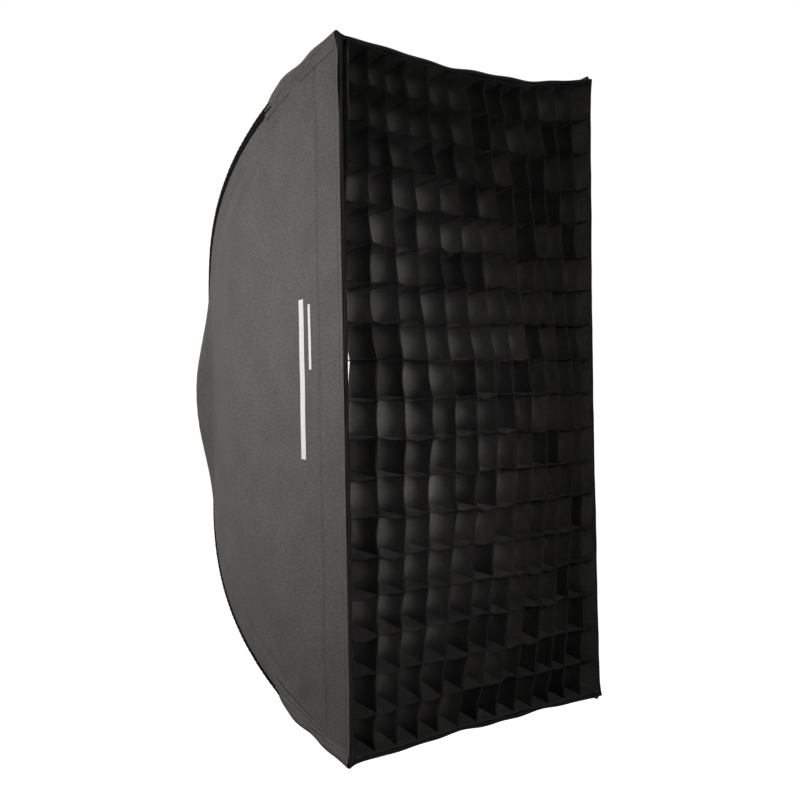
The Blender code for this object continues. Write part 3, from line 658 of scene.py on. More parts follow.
def binding_tape(corner):
    sx, sz = CORNERS[corner]
    offsets = np.sort(TAPE_OFFSETS * FOLDED_ONTO[corner])
    run, offset = np.meshgrid(np.linspace(0.006, 0.846, 150), offsets, indexing="ij")
    to_edge = np.minimum(np.abs(offset - offsets[0]), np.abs(offset - offsets[-1]))
    lift = 0.0006 + 0.0012 * smooth(to_edge / 0.0012)
    phase = corner.count("l") * 1.3
    lift = lift + 0.00025 * np.sin(run * SEAM_LENGTH * 2 * math.pi / 0.0075 + phase)
    points = over_seam(corner, run, offset, lift)
    jitter = field_noise(points, 60.0, 20 + sx + 2 * sz) * 0.0004
    points = points + np.array([0, 0, 1.0]) * jitter[..., None]
    piece = cloth(
        "seam_binding_tape_" + corner, points, 0.0009, from_axis(points), arc_lengths(points), [TAPE]
    )
    fold_in(piece, "seam_binding_" + corner)


def rod_sleeve(corner):
    """Grey sleeve that holds the rod's end, sewn over the corner."""
    runs = np.linspace(0.800, 0.999, 56)
    run, offset = np.meshgrid(runs, np.linspace(-0.0135, 0.0135, 25), indexing="ij")
    share = (run - runs[0]) / (runs[-1] - runs[0])
    ends = smooth(share / 0.26) * (1 - 0.25 * smooth((share - 0.90) / 0.1))
    ridge = bell(offset, 0.0062)
    flank = 1 - smooth((np.abs(offset) - 0.0095) / 0.004)
    lift = 0.0009 + 0.0034 * ridge * ends + 0.0006 * flank
    # wrinkles over the rod, puckers on the flanks, and a lump a third of the way along
    lift += 0.0010 * np.sin(share * 19 + offset * 420) * ridge * ends * 0.9
    lift += 0.0008 * np.sin(offset * 1300 + share * 6) * flank * smooth((1 - share) / 0.3)
    lift += 0.0014 * bell(share - 0.30, 0.10) * ridge
    points = over_seam(corner, run, offset, lift)
    piece = cloth(
        "rod_sleeve_" + corner, points, 0.0009, from_axis(points), arc_lengths(points), [SHELL]
    )
    fold_in(piece)


for corner in CORNERS:
    binding_tape(corner)
    rod_sleeve(corner)

# ------------------------------------------------------------------ collar
# radius and depth, from the panels over the rear edge to the inside
COLLAR_PROFILE = np.array([
    (0.0668, 0.3360), (0.0674, 0.3376), (0.0680, 0.3390), (0.0682, 0.3402), (0.0676, 0.3414),
    (0.0660, 0.3421), (0.0640, 0.3424), (0.0618, 0.3424), (0.0600, 0.3422), (0.0580, 0.3417),
    (0.0560, 0.3410), (0.0550, 0.3399), (0.0547, 0.3388),
])
COLLAR_CORE = (0.0628, 0.3385)  # radius and depth of the circle the profile curls round


def circle_points(radius, depth, angle):
    return np.stack([radius * np.cos(angle), depth + FRONT_Y, radius * np.sin(angle)], -1)


def gathered_collar():
    angles = np.linspace(0, 2 * math.pi, 360, endpoint=False)
    row, angle = np.meshgrid(np.arange(len(COLLAR_PROFILE)), angles, indexing="ij")
    radius, depth = COLLAR_PROFILE[row, 0], COLLAR_PROFILE[row, 1]
    folds = gathers(angle) * 0.6 + np.sin(angle * 83 + 3 * np.sin(angle * 3)) * 0.4
    folds = folds * np.interp(row, [0, 3, 7, 9, 12], [0.0006, 0.0007, 0.0008, 0.0006, 0.0004])
    points = circle_points(
        radius + folds * np.where(row < 5, 1.0, 0.3),
        depth + folds * np.where((row >= 3) & (row < 10), 0.8, 0.0),
        angle,
    )
    core_radius, core_depth = COLLAR_CORE
    core = circle_points(core_radius, np.full_like(angle, core_depth), angle)
    uv = np.stack([angle * COLLAR_RADIUS, depth + radius], -1)
    collar = cloth(
        "gathered_collar", points, 0.0008, points - core, uv, [SHELL], rims=(1, 1, 0, 0), closed=True
    )
    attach(collar, "speedring")
    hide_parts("collar")


gathered_collar()

# ------------------------------------------------------------------ bands round the front
# A loop runs clockwise, seen from the front, from the lower left corner. Each side has the same
# count of points, so the middle of each side is a point.
# side: direction of across along the loop, inward direction
LOOP = {
    "left": (1, (1, 0, 0)),
    "top": (1, (0, 0, -1)),
    "right": (-1, (-1, 0, 0)),
    "bottom": (-1, (0, 0, 1)),
}


def rim_loop(depth, inset, per_side):
    """A loop of points on the shell at a depth."""
    share = np.linspace(-1, 1, per_side, endpoint=False)
    across = share * (1.25 - 0.25 * share * share)
    points = np.concatenate([
        wall(side, run_at(depth), sign * across, inset) for side, (sign, _) in LOOP.items()
    ])
    points[:, 1] = depth + FRONT_Y
    return points


def loop_inward(per_side, passes):
    """Inward directions square to the sides, averaged with their neighbours."""
    inward = np.concatenate([np.tile(direction, (per_side, 1)) for _, direction in LOOP.values()])
    inward = inward.astype(float)
    for _ in range(passes):
        inward = (np.roll(inward, 1, 0) + inward + np.roll(inward, -1, 0)) / 3
    return inward


def loop_quadrants(count):
    """Each corner with the point numbers between the middles of its two sides."""
    per_side = count // 4
    for turn, corner in enumerate(("tl", "tr", "br", "bl")):
        yield corner, (per_side // 2 + turn * per_side + np.arange(per_side + 1)) % count


def loop_band(name, points, thickness, outward, materials, replaced, rim_id=0):
    """A band round the front from rows of loops, as four quadrant pieces."""
    segments = np.linalg.norm(np.roll(points[0], -1, 0) - points[0], axis=-1)
    distance = np.concatenate([[0], np.cumsum(segments)[:-1]])
    depth_steps = np.linalg.norm(np.diff(points[:, 0], axis=0), axis=-1)
    uv = grid_uv(np.concatenate([[0], np.cumsum(depth_steps)]), distance)
    for corner, cols in loop_quadrants(points.shape[1]):
        piece = cloth(
            f"{name}_{corner}", points, thickness, outward, uv, materials,
            part=(slice(None), cols), rims=(1, 1, 0, 0), rim_id=rim_id, closed=True,
        )
        fold_in(piece, replaced)


RIM_PER_SIDE = 128
RIM_INWARD = loop_inward(RIM_PER_SIDE, passes=3)


def hem_points():
    """Rings of the rolled hem of the inner lip, just inside the grey fabric's edge."""
    rim = rim_loop(0.0, 0.0, RIM_PER_SIDE)
    lump = field_noise(rim, 28.0, 31) * 0.00072 + field_noise(rim, 9.0, 37) * 0.00096
    # the rod ends push the hem's corners out into small round knobs
    to_side, to_level = np.abs(rim[:, 0]) - FRONT_W / 2, np.abs(rim[:, 2]) - FRONT_H / 2
    knob = np.exp(-(to_side**2 + to_level**2) / 0.014**2)
    swell = 1 + 0.22 * field_noise(rim, 45.0, 41) + 0.60 * knob
    rows = []
    for step in range(12):
        angle = 2 * math.pi * step / 12
        inward = (0.0026 - 0.0021 * math.cos(angle)) * swell - 0.0010 * knob - lump
        back = (-0.0002 - 0.0026 * math.sin(angle)) * swell
        rows.append(rim + RIM_INWARD * inward[:, None] + np.array([0, 1.0, 0]) * back[:, None])
    return np.stack(rows)


def rim_hem():
    hem = hem_points()
    centre_line = hem.mean(0)
    for corner, cols in loop_quadrants(hem.shape[1]):
        rings, core = hem[:, cols], centre_line[cols]
        normals = rings - core[None]
        normals /= np.linalg.norm(normals, axis=-1, keepdims=True)
        verts, normals = rings.reshape(-1, 3), normals.reshape(-1, 3)
        index = np.arange(len(verts)).reshape(rings.shape[:2])
        quads, _ = wound_quads(np.concatenate([index, index[:1]]), verts, normals)
        segments = np.linalg.norm(np.diff(core, axis=0), axis=-1)
        distance = np.concatenate([[0], np.cumsum(segments)])
        uvs = grid_uv(np.arange(len(rings)) * 0.0013, distance).reshape(-1, 2)
        ids = np.zeros(len(quads), int)
        piece = make_mesh("rim_hem_" + corner, verts, quads, normals, uvs, ids, [BLACK])
        fold_in(piece)


def front_lip():
    """Black band just inside the shell's front edge."""
    rows = []
    for depth in (0.0012, 0.005, 0.010, 0.017, 0.024, 0.031):
        line = rim_loop(depth, 0.0019, RIM_PER_SIDE)
        rows.append(line + RIM_INWARD * (0.0006 * field_noise(line, 35.0, 51))[:, None])
    loop_band("front_lip", np.stack(rows), 0.0009, -RIM_INWARD, [BLACK], "front_lip_band")


rim_hem()
front_lip()

# ------------------------------------------------------------------ grid
# The grid hangs out of the front, furthest a little below its middle.
# height, share of the full hang
HANG_TABLE = np.array([
    (-0.369, 0), (-0.31, 0.36), (-0.25, 0.56), (-0.18, 0.75), (-0.104, 0.92), (-0.03, 1.0),
    (0.03, 0.91), (0.092, 0.70), (0.132, 0.60), (0.172, 0.53), (0.212, 0.47), (0.252, 0.40),
    (0.296, 0.22), (0.369, 0),
])
HANG_HEIGHTS = np.linspace(-0.369, 0.369, 300)
rough_hang = np.interp(HANG_HEIGHTS, HANG_TABLE[:, 0], HANG_TABLE[:, 1])
HANG_SHARES = np.convolve(np.pad(rough_hang, 12, mode="edge"), np.ones(25) / 25, "valid")
PITCH_X, PITCH_Z = GRID_W / CELLS_X, GRID_H / CELLS_Z


def hang(share_x, z):
    """How far a place on the grid hangs forward."""
    return GRID_HANG * np.clip(1 - share_x**2, 0, 1) * np.interp(z, HANG_HEIGHTS, HANG_SHARES)


def grid_point(x, z, depth):
    """Where a point of the flat grid goes: bowed like the rim, its middle hanging out."""
    x, z, depth = np.broadcast_arrays(*(np.asarray(value, float) for value in (x, z, depth)))
    share_x, share_z = x / (GRID_W / 2), z / (GRID_H / 2)
    mid_z, mid_x = np.clip(1 - share_z**2, 0, 1), np.clip(1 - share_x**2, 0, 1)
    bow_x = np.where(share_x < 0, BOWS["left"], BOWS["right"])
    bow_z = np.where(share_z > 0, BOWS["top"] * (1 + TOP_LEAN * share_x), BOWS["bottom"])
    # the right side droops
    droop = 0.0045 * smooth((share_x + 0.2) / 1.2) * mid_z
    # the upper left corner has come away from the rim a little
    loose = smooth((z - 0.15) / 0.18) * smooth((-x - 0.19) / 0.07)
    taper = 1 - 1.25 * depth
    return np.stack([
        (x - share_x * bow_x * mid_z + 0.004 * loose) * taper,
        depth - hang(share_x, z) - 0.006 * loose + FRONT_Y,
        (z - share_z * bow_z * mid_x - droop) * taper,
    ], -1)


rng = np.random.default_rng(274)
KNOTS = (CELLS_X + 1, CELLS_Z + 1)
# the knots where strips cross have each settled a little off the regular grid
front_x = rng.normal(0, 0.0006, KNOTS)
front_z = rng.normal(0, 0.0010, KNOTS)
front_y = rng.normal(0, 0.0012, KNOTS)
rear_x = rng.normal(0, 0.0020, KNOTS)
rear_z = rng.normal(0, 0.0016, KNOTS)
# the first two strips lean towards the left border at the back
rear_x[1] -= 0.0042 + 0.0020 * np.sin(np.linspace(0, math.pi, CELLS_Z + 1))
rear_x[2] -= 0.0024
KNOT_SHIFT = np.stack([front_x, front_y, front_z], -1)
REAR_SHIFT = np.stack([rear_x, np.zeros(KNOTS), rear_z], -1)  # added in full at the back
for shifts in (KNOT_SHIFT, REAR_SHIFT):
    shifts[0, :] = shifts[-1, :] = shifts[:, 0] = shifts[:, -1] = 0
# painted light and shade of each wall of the grid: the tone strays at random from wall to wall, and some
# walls are painted dark as if unlit
UNLIT_CELL_SHADE = 0.36
PAINTED_CELL_SHADES = np.clip(rng.normal(1.0, 0.16, KNOTS), 0.7, 1.35)
PAINTED_CELL_SHADES[rng.random(KNOTS) < 0.24] = UNLIT_CELL_SHADE
# painted shade on the bottom row of walls, next to the border
PAINTED_CELL_SHADES[:, 0] *= 0.5
# painted shade on half the walls of the second row from the bottom
PAINTED_CELL_SHADES[:, 1][rng.random(CELLS_X + 1) < 0.5] = UNLIT_CELL_SHADE

STRIP_DEPTHS = np.array([0.0, 0.0012, 0.005, 0.010, 0.015, 0.020, 0.025, 0.030, 0.034])
DEPTH_SHARES = STRIP_DEPTHS / GRID_D
CELL_STEPS = np.linspace(0, 1, 9)
STRIP_THICKNESS = 0.0009
# painted shade: the level strips are painted darker than the upright walls
LEVEL_PAINTED_SHADE = 0.55
# how a wall bulges between knots: random part and offset, at mid depth and at the front edge
UPRIGHT_BULGE = (0.0020, -0.0016, 0.0007, 0.0)
LEVEL_BULGE = (0.0022, -0.0010, 0.0010, -0.0010)


def strip_column(upright, line, cell, step, bulge_mid, bulge_front):
    """Points through the depth of a strip, a step of the way along one of its cells."""
    if upright:
        x, z = -GRID_W / 2 + PITCH_X * line, -GRID_H / 2 + PITCH_Z * (cell + step)
        start, end, sideways = (line, cell), (line, cell + 1), np.array([1.0, 0, 0])
    else:
        x, z = -GRID_W / 2 + PITCH_X * (cell + step), -GRID_H / 2 + PITCH_Z * line
        start, end, sideways = (cell, line), (cell + 1, line), np.array([0, 0, 1.0])
    rear = DEPTH_SHARES[:, None]
    shift = (KNOT_SHIFT[start] + REAR_SHIFT[start] * rear) * (1 - step)
    shift = shift + (KNOT_SHIFT[end] + REAR_SHIFT[end] * rear) * step
    arch = math.sin(math.pi * step)
    belly = bulge_mid * np.sin(math.pi * np.minimum(1.0, 0.15 + 0.85 * rear))
    belly = arch * (belly + bulge_front * (1 - rear))
    # strips are deeper away from the border, but stay clear of the diffuser
    share_x, share_z = x / (GRID_W / 2), z / (GRID_H / 2)
    room = max(0.0, 1 - share_x**8) * max(0.0, 1 - share_z**8)
    forward = DIFFUSER_BELLY * max(0.0, 1 - share_x**2) * max(0.0, 1 - share_z**2)
    clear = DIFFUSER_DEPTH - forward + float(hang(share_x, z)) - 0.0025
    points = grid_point(x, z, STRIP_DEPTHS * min(1 + 0.34 * room, clear / GRID_D))
    return points + shift + sideways * belly + np.array([0, 0.0012, 0]) * arch * (1 - rear)


def strip(upright, line):
    """Points (depth, along, 3) of one strip, how far along each column is, and its tones of painted
    light and shade.
    """
    cells, pitch = (CELLS_Z, PITCH_Z) if upright else (CELLS_X, PITCH_X)
    mid_random, mid_offset, front_random, front_offset = UPRIGHT_BULGE if upright else LEVEL_BULGE
    columns, distances, tones = [], [], []
    for cell in range(cells):
        bulge_mid = mid_random * rng.normal(0, 1.0) + mid_offset
        bulge_front = front_random * rng.normal() + front_offset
        for step in CELL_STEPS if cell == cells - 1 else CELL_STEPS[:-1]:
            columns.append(strip_column(upright, line, cell, step, bulge_mid, bulge_front))
            distances.append((cell + step) * pitch)
            # painted light and shade: pale deep in a cell and in the middle of a wall, darker at the
            # front edge
            arch = math.sin(math.pi * step)
            deep = smooth((DEPTH_SHARES - 0.12 - 0.45 * (1 - arch)) / 0.62)
            if upright:
                tones.append(PAINTED_CELL_SHADES[line, cell] * (0.42 + 0.78 * deep))
            else:
                tones.append(np.full(len(STRIP_DEPTHS), LEVEL_PAINTED_SHADE))
    return np.array(columns).transpose(1, 0, 2), np.array(distances), np.array(tones).T


def strip_sheet(points, uv, outward, tones):
    """Vertices, normals, UVs, faces, material numbers and tones of part of a strip. Its front edge
    gets the second material, the grid fabric with a painted highlight."""
    normals = normals_of(points, outward)
    half = normals * STRIP_THICKNESS / 2
    verts, norms, uvs, groups = solid_sheet(points + half, points - half, normals, uv)
    face_ids = np.zeros((points.shape[0] - 1, points.shape[1] - 1), int)
    face_ids[0] = 1
    rim_ids = [np.full(len(group), int(rim == 0)) for rim, group in enumerate(groups[2:])]
    ids = np.concatenate([face_ids.ravel()] * 2 + rim_ids)
    return verts, norms, uvs, np.concatenate(groups), ids, np.concatenate([tones.ravel()] * 2)


def add_strip(sheets, upright, line):
    """Cuts a strip at the middle line and puts each half in its quadrant."""
    points, distances, tones = strip(upright, line)
    uv = grid_uv(STRIP_DEPTHS, distances)
    outward = np.array([-1.0, 0, 0]) if upright else np.array([0, 0, 1.0])
    middle = int(np.argmin(np.abs(distances - distances[-1] / 2)))
    strip_side = -1 if line < (CELLS_X if upright else CELLS_Z) / 2 else 1
    for corner, (sx, sz) in CORNERS.items():
        corner_side, end = (sx, sz) if upright else (sz, sx)
        if corner_side == strip_side:
            part = np.s_[:, : middle + 1] if end < 0 else np.s_[:, middle:]
            sheets[corner].append(strip_sheet(points[part], uv[part], outward, tones[part]))


def egg_crate():
    sheets = {corner: [] for corner in CORNERS}
    for line in range(1, CELLS_X):
        add_strip(sheets, True, line)
    for line in range(1, CELLS_Z):
        add_strip(sheets, False, line)
    for corner, parts in sheets.items():
        verts, norms, uvs, faces, ids, tones = zip(*parts)
        starts = np.cumsum([0] + [len(part) for part in verts[:-1]])
        faces = np.concatenate([quads + start for quads, start in zip(faces, starts)])
        piece = make_mesh(
            "egg_crate_strips_" + corner, np.concatenate(verts), faces, np.concatenate(norms),
            np.concatenate(uvs), np.concatenate(ids), [GRID, GRID_EDGE_HIGHLIGHT],
        )
        # painted light and shade of the grid walls, stored per vertex
        wear = piece.data.attributes.new("wear", "FLOAT", "POINT")
        wear.data.foreach_set("value", np.concatenate(tones).astype(np.float32))
        fold_in(piece, "egg_crate_grid")


def grid_border():
    """Band round the grid, standing clear of the strips' ends."""
    per_side = 96
    inward = loop_inward(per_side, passes=0)
    in_x, in_z = inward[:, 0], inward[:, 2]
    share = np.linspace(-1, 1, per_side, endpoint=False)
    along = np.concatenate([sign * share for sign, _ in LOOP.values()])
    x = GRID_W / 2 * (along * np.abs(in_z) - in_x)
    z = GRID_H / 2 * (along * np.abs(in_x) - in_z)
    rows = []
    for depth in (-0.001, 0.0008, 0.004, 0.010, 0.016, 0.022, 0.028, 0.0345):
        line = grid_point(x, z, depth)
        behind = max(depth, 0)
        flat = line * np.array([1, 0, 1])
        wave = 0.0012 * field_noise(flat, 16.0, 61) + 0.0005 * field_noise(flat, 50.0, 67)
        # slanting creases where each row of the grid is sewn on
        slant = line[:, 2] + line[:, 0] + 0.9 * behind
        crease = np.abs(np.sin(slant * math.pi / PITCH_Z)) ** 0.6
        wave = wave + 0.0016 * (crease - 0.7) * (1 if depth > 0.001 else 0.4)
        rows.append(line - inward * (0.0004 + 0.0010 * (behind / GRID_D) + wave)[:, None])
    outward = -loop_inward(per_side, passes=2)
    # the band's rims get a painted highlight
    materials = [BORDER, BORDER_EDGE_HIGHLIGHT]
    loop_band(
        "grid_border_band", np.stack(rows), 0.0011, outward, materials, "grid_border", rim_id=1
    )


egg_crate()
grid_border()


# ------------------------------------------------------------------ diffusers
def diffuser(node, depth, half_w, half_h, extra_bow, belly, seed, cols, rows):
    """White cloth across the shell, its middle forward by belly, as four quadrant pieces."""
    across, up = np.meshgrid(np.linspace(-1, 1, cols + 1), np.linspace(-1, 1, rows + 1))
    bow_x = extra_bow + np.where(across < 0, BOWS["left"], BOWS["right"])
    lean = 1 + TOP_LEAN * np.where(up > 0, across, 0)
    bow_z = extra_bow + np.where(up > 0, BOWS["top"] * lean, BOWS["bottom"])
    x = half_w * across - across * bow_x * (1 - up * up)
    z = half_h * up - up * bow_z * (1 - across * across)
    y = depth - belly * (1 - across * across) * (1 - up * up) + FRONT_Y
    points = np.stack([x, y, z], -1)
    soft = field_noise(points, 9.0, seed) * 0.0012 + field_noise(points, 30.0, seed + 3) * 0.0003
    to_side, to_level = np.abs(across) - 1, np.abs(up) - 1
    to_edge = np.minimum(-to_side, -to_level)
    # pull lines that fan in from the corners
    pulls = np.sin(np.arctan2(to_level, to_side) * 22) * np.exp(-np.hypot(to_side, to_level) / 0.16)
    points[..., 1] += soft * smooth(to_edge / 0.1) + 0.0012 * pulls * smooth(to_edge / 0.03)
    mid_col, mid_row = cols // 2, rows // 2
    for corner, (sx, sz) in CORNERS.items():
        part = (
            slice(mid_row, None) if sz > 0 else slice(0, mid_row + 1),
            slice(mid_col, None) if sx > 0 else slice(0, mid_col + 1),
        )
        piece = cloth(
            f"{node}_cloth_{corner}", points, 0.0006, np.array([0, -1.0, 0]), np.stack([x, z], -1),
            [WHITE], part, rims=(sz < 0, sz > 0, sx < 0, sx > 0),
        )
        fold_in(piece, node)


diffuser(
    "front_diffuser", DIFFUSER_DEPTH, half_w=0.2586, half_h=0.3541, extra_bow=0.0015,
    belly=DIFFUSER_BELLY, seed=71, cols=48, rows=64,
)
diffuser(
    "inner_diffuser", INNER_DIFFUSER_DEPTH, half_w=0.180, half_h=0.250, extra_bow=0.009,
    belly=0.0, seed=77, cols=32, rows=40,
)

STRAP_START, STRAP_END = 0.3080, 0.3490  # reach
STRAP_HALF = 0.0055
STRAP_COLS = np.array([-1, -0.85, -0.4, 0, 0.4, 0.85, 1])  # shares of the half width


def elastic_strap(corner):
    """Strap that holds a corner of the inner diffuser."""
    sx, sz = CORNERS[corner]
    outwards = np.array([sx * DIAG_X, 0, sz * DIAG_Z])
    sideways = np.array([sz * DIAG_Z, 0, -sx * DIAG_X])
    reaches = np.linspace(STRAP_START, STRAP_END, 25)
    reach, width = np.meshgrid(reaches, STRAP_COLS * STRAP_HALF, indexing="ij")
    taper = 1 - 0.25 * smooth((reach - 0.335) / 0.014)
    points = reach[..., None] * outwards + (width * taper)[..., None] * sideways
    ripple = 0.0009 * np.sin((reach - STRAP_START) * 180)
    crown = 0.0006 * (1 - (width / STRAP_HALF) ** 2)
    points[..., 1] = INNER_DIFFUSER_DEPTH + FRONT_Y + ripple - crown
    uv = np.stack([reach, width], -1)
    front = np.array([0, -1.0, 0])
    piece = cloth("elastic_strap_" + corner, points, 0.0010, front, uv, [TAPE])
    fold_in(piece, "diffuser_strap_" + corner)


for corner in CORNERS:
    elastic_strap(corner)


# ------------------------------------------------------------------ stitches
def on_panel(side, depth, across, lift):
    """A point and outward normal on a panel's finished surface."""
    points, normals = panel_surfaces[side]
    row = np.interp(float(run_at(depth)), PANEL_RUNS, np.arange(len(PANEL_RUNS)))
    col = np.interp(across, PANEL_ACROSS, np.arange(len(PANEL_ACROSS)))
    i, j = min(int(row), len(PANEL_RUNS) - 2), min(int(col), len(PANEL_ACROSS) - 2)
    row_part, col_part = row - i, col - j
    point = (
        points[i, j] * (1 - row_part) * (1 - col_part)
        + points[i + 1, j] * row_part * (1 - col_part)
        + points[i, j + 1] * (1 - row_part) * col_part
        + points[i + 1, j + 1] * row_part * col_part
    )
    return point + normals[i, j] * lift, normals[i, j]


# rings of one stitch: place along its length, share of its radius
STITCH_RINGS = ((-0.5, 0.25), (-0.36, 0.85), (-0.12, 1.0), (0.12, 1.0), (0.36, 0.85), (0.5, 0.25))
# rows of stitches: label, depth, pitch, stitch length, thread radius
STITCH_ROWS = (
    ("lip", STITCH_DEPTH, 0.0050, 0.0038, 0.00032),
    ("hem", HEM_STITCH_DEPTH, 0.0040, 0.0030, 0.00026),
)


def stitch_row(name, side, sign, depth, pitch, length, radius):
    """A row of thread stitches from the middle of a side to the seam on its sign's side."""
    half = side_length(side, float(run_at(depth)))
    verts, faces, uvs = [], [], []
    for stitch in range(int((half - 0.012) / pitch)):
        start = len(verts)
        for place, size in STITCH_RINGS:
            across = sign * ((stitch + 0.5) * pitch + place * length) / half
            centre, normal = on_panel(side, depth, across, 0.00010 - 0.00022 * abs(place) * 2)
            ahead, _ = on_panel(side, depth, across + sign * 0.004, 0.0)
            here, _ = on_panel(side, depth, across, 0.0)
            along = (ahead - here) / np.linalg.norm(ahead - here)
            beside = np.cross(normal, along)
            for k in range(6):
                angle = k * math.pi / 3
                offset = math.cos(angle) * normal + math.sin(angle) * beside
                verts.append(centre + offset * radius * size)
                uvs.append((place * length, k * 0.0002))
        for ring in range(5):
            low = start + 6 * ring
            for k in range(6):
                after = (k + 1) % 6
                faces.append((low + k, low + after, low + 6 + after, low + 6 + k))
        faces.append(tuple(range(start + 5, start - 1, -1)))
        faces.append(tuple(range(start + 30, start + 36)))
    row = make_mesh(name, verts, faces, None, uvs, np.zeros(len(faces), int), [THREAD])
    bm = bmesh.new()
    bm.from_mesh(row.data)
    bmesh.ops.recalc_face_normals(bm, faces=bm.faces)
    bm.to_mesh(row.data)
    bm.free()
    return row


for side, corners in SIDE_CORNERS.items():
    for corner, sign in zip(corners, (-1, 1)):
        for label, *sizes in STITCH_ROWS:
            row = stitch_row(f"{label}_stitches_{side}_{corner}", side, sign, *sizes)
            fold_in(row)


# ------------------------------------------------------------------ plain printed bars
def printed_bar(name, side, depths, heights):
    """A bar of ink on a left or right panel, between two depths and two heights."""
    half = side_length(side, float(run_at((depths[0] + depths[1]) / 2)))
    rows = np.linspace(*depths, 6)
    cols = np.linspace(*heights, int(abs(heights[1] - heights[0]) / 0.004) + 1)
    points = np.array([
        [on_panel(side, depth, z / half, 0.00035)[0] for z in cols] for depth in rows
    ])
    uv = np.stack(np.meshgrid(rows, cols, indexing="ij"), -1)
    bar = cloth(name, points, 0.0002, from_axis(points), uv, [PRINT])
    fold_in(bar)


LONG_BAR_DEPTHS, SHORT_BAR_DEPTHS = (0.0640, 0.0720), (0.0525, 0.0565)
for side in UPRIGHT:
    printed_bar(f"print_bar_long_{side}_up", side, LONG_BAR_DEPTHS, (0.0, 0.105))
    printed_bar(f"print_bar_long_{side}_low", side, LONG_BAR_DEPTHS, (-0.062, 0.0))
    printed_bar(f"print_bar_short_{side}", side, SHORT_BAR_DEPTHS, (0.032, 0.100))

# ------------------------------------------------------------------ rods
ROD_RADIUS = 0.0022
HINGE_GAP = 0.014  # from the seam in to the rod's hinge
BEND_RUN = 0.125  # the rod is straight from its hinge to here, then follows the seam


def inside_seam(run, gap):
    """Reach and depth of a place inside a seam, square to it."""
    reach, depth = seam(run)
    reach_slope = CORNER_RADIUS - COLLAR_RADIUS
    depth_slope = -PANEL_DEPTH * (SEAM_LINEAR + 3 * SEAM_CUBIC * run * run)
    slope = math.hypot(reach_slope, depth_slope)
    return reach + depth_slope / slope * gap, depth - reach_slope / slope * gap


def rod_point(run):
    """The rod runs further inside the seam near the collar and near its front end."""
    near_collar = 0.0080 * math.exp(-run / 0.15)
    near_front = 0.0060 * float(smooth((run - 0.66) / 0.22))
    return inside_seam(run, 0.0060 + near_collar + near_front)


def rod_path():
    """Reach and depth of the points along a rod."""
    hinge = inside_seam(0.0, HINGE_GAP)
    bend = rod_point(BEND_RUN)
    length = math.hypot(bend[0] - hinge[0], bend[1] - hinge[1])
    arm = ((bend[0] - hinge[0]) / length, (bend[1] - hinge[1]) / length)
    straight = np.linspace(0.0125, 0.046, 6)
    path = [(hinge[0] + arm[0] * way, hinge[1] + arm[1] * way) for way in straight]
    return path + [rod_point(BEND_RUN + 0.8 * k / 60) for k in range(1, 61)]


def spring_rod(corner, path):
    sx, sz = CORNERS[corner]
    curve = bpy.data.curves.new("rod_curve_" + corner, "CURVE")
    curve.dimensions = "3D"
    curve.bevel_depth = ROD_RADIUS
    curve.bevel_resolution = 4
    curve.use_fill_caps = True
    spline = curve.splines.new("POLY")
    spline.points.add(len(path) - 1)
    for point, (reach, depth) in zip(spline.points, path):
        point.co = (sx * DIAG_X * reach, depth + FRONT_Y, sz * DIAG_Z * reach, 1)
    guide = add_object("rod_guide_" + corner, curve)
    bpy.context.view_layer.update()
    depsgraph = bpy.context.evaluated_depsgraph_get()
    mesh = bpy.data.meshes.new_from_object(guide.evaluated_get(depsgraph))
    bpy.data.objects.remove(guide, do_unlink=True)
    bm = bmesh.new()
    bm.from_mesh(mesh)
    bmesh.ops.remove_doubles(bm, verts=bm.verts, dist=1e-6)
    bm.to_mesh(mesh)
    bm.free()
    mesh.shade_smooth()
    mesh.materials.clear()
    mesh.materials.append(SPRING)
    rod = add_object("spring_rod_" + corner, mesh)
    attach(rod, "rod_" + corner)
    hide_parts("rod_" + corner)


ROD_PATH = rod_path()
for corner in CORNERS:
    spring_rod(corner, ROD_PATH)

# ------------------------------------------------------------------ hard parts
# start of the part's name: material, slot
HARD_PARTS = {
    "bayonet_adapter": (ALU, "bright_metal"),
    "retaining_ring": (CAST, "cast_black"),
    "friction_washer": (NYLON, "black_plastic"),
    "speed_ring": (CAST, "cast_black"),
    "collar_elastic": (ELASTIC, "black_fabric"),
    "retaining_screw": (STEEL, "steel"),
    "hinge_pin": (STEEL, "steel"),
    "button_spring": (STEEL, "spring_steel"),
    "rod_arm": (CAST, "cast_black"),
    "rod_clamp_screw": (STEEL, "steel"),
    "rod_cap": (RUBBER, "rubber"),
    "corner_pocket": (ELASTIC, "black_fabric"),
    "release_button": (RED, "red_plastic"),
}
bodies = {
    name: body for body, names in frame["record"]["behaviour"]["bodies"].items() for name in names
}


def finish_part(node, part, material):
    """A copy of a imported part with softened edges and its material."""
    bm = bmesh.new()
    bm.from_mesh(part.data)
    sharp = [e for e in bm.edges if e.is_manifold and e.calc_face_angle(0) > math.radians(38)]
    bmesh.ops.bevel(
        bm, geom=sharp, offset=0.00022, segments=1, affect="EDGES", clamp_overlap=True, profile=0.5
    )
    for face in bm.faces:
        face.smooth = True
    mesh = bpy.data.meshes.new("finished_" + node)
    bm.to_mesh(mesh)
    bm.free()
    mesh.materials.clear()
    mesh.materials.append(material)
    mesh.polygons.foreach_set("material_index", [0] * len(mesh.polygons))
    mesh.set_sharp_from_angle(angle=math.radians(50))
    piece = bpy.data.objects.new("finished_" + node, mesh)
    piece.matrix_world = part.matrix_world.copy()
    bpy.context.scene.collection.objects.link(piece)
    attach(piece, bodies[node])
    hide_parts(node)
    if node.startswith("button_spring"):  # the coil, which shortens by the button's travel, gets a mesh of its own
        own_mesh(piece)


for node, part in list(frame["nodes"].items()):
    for start, (material, slot) in HARD_PARTS.items():
        if node.startswith(start):
            finish_part(node, part, material)

# ------------------------------------------------------------------ studio
scene = bpy.context.scene
scene.view_settings.view_transform = "Standard"
scene.view_settings.look = "None"
scene.view_settings.exposure = 0
scene.view_settings.gamma = 1


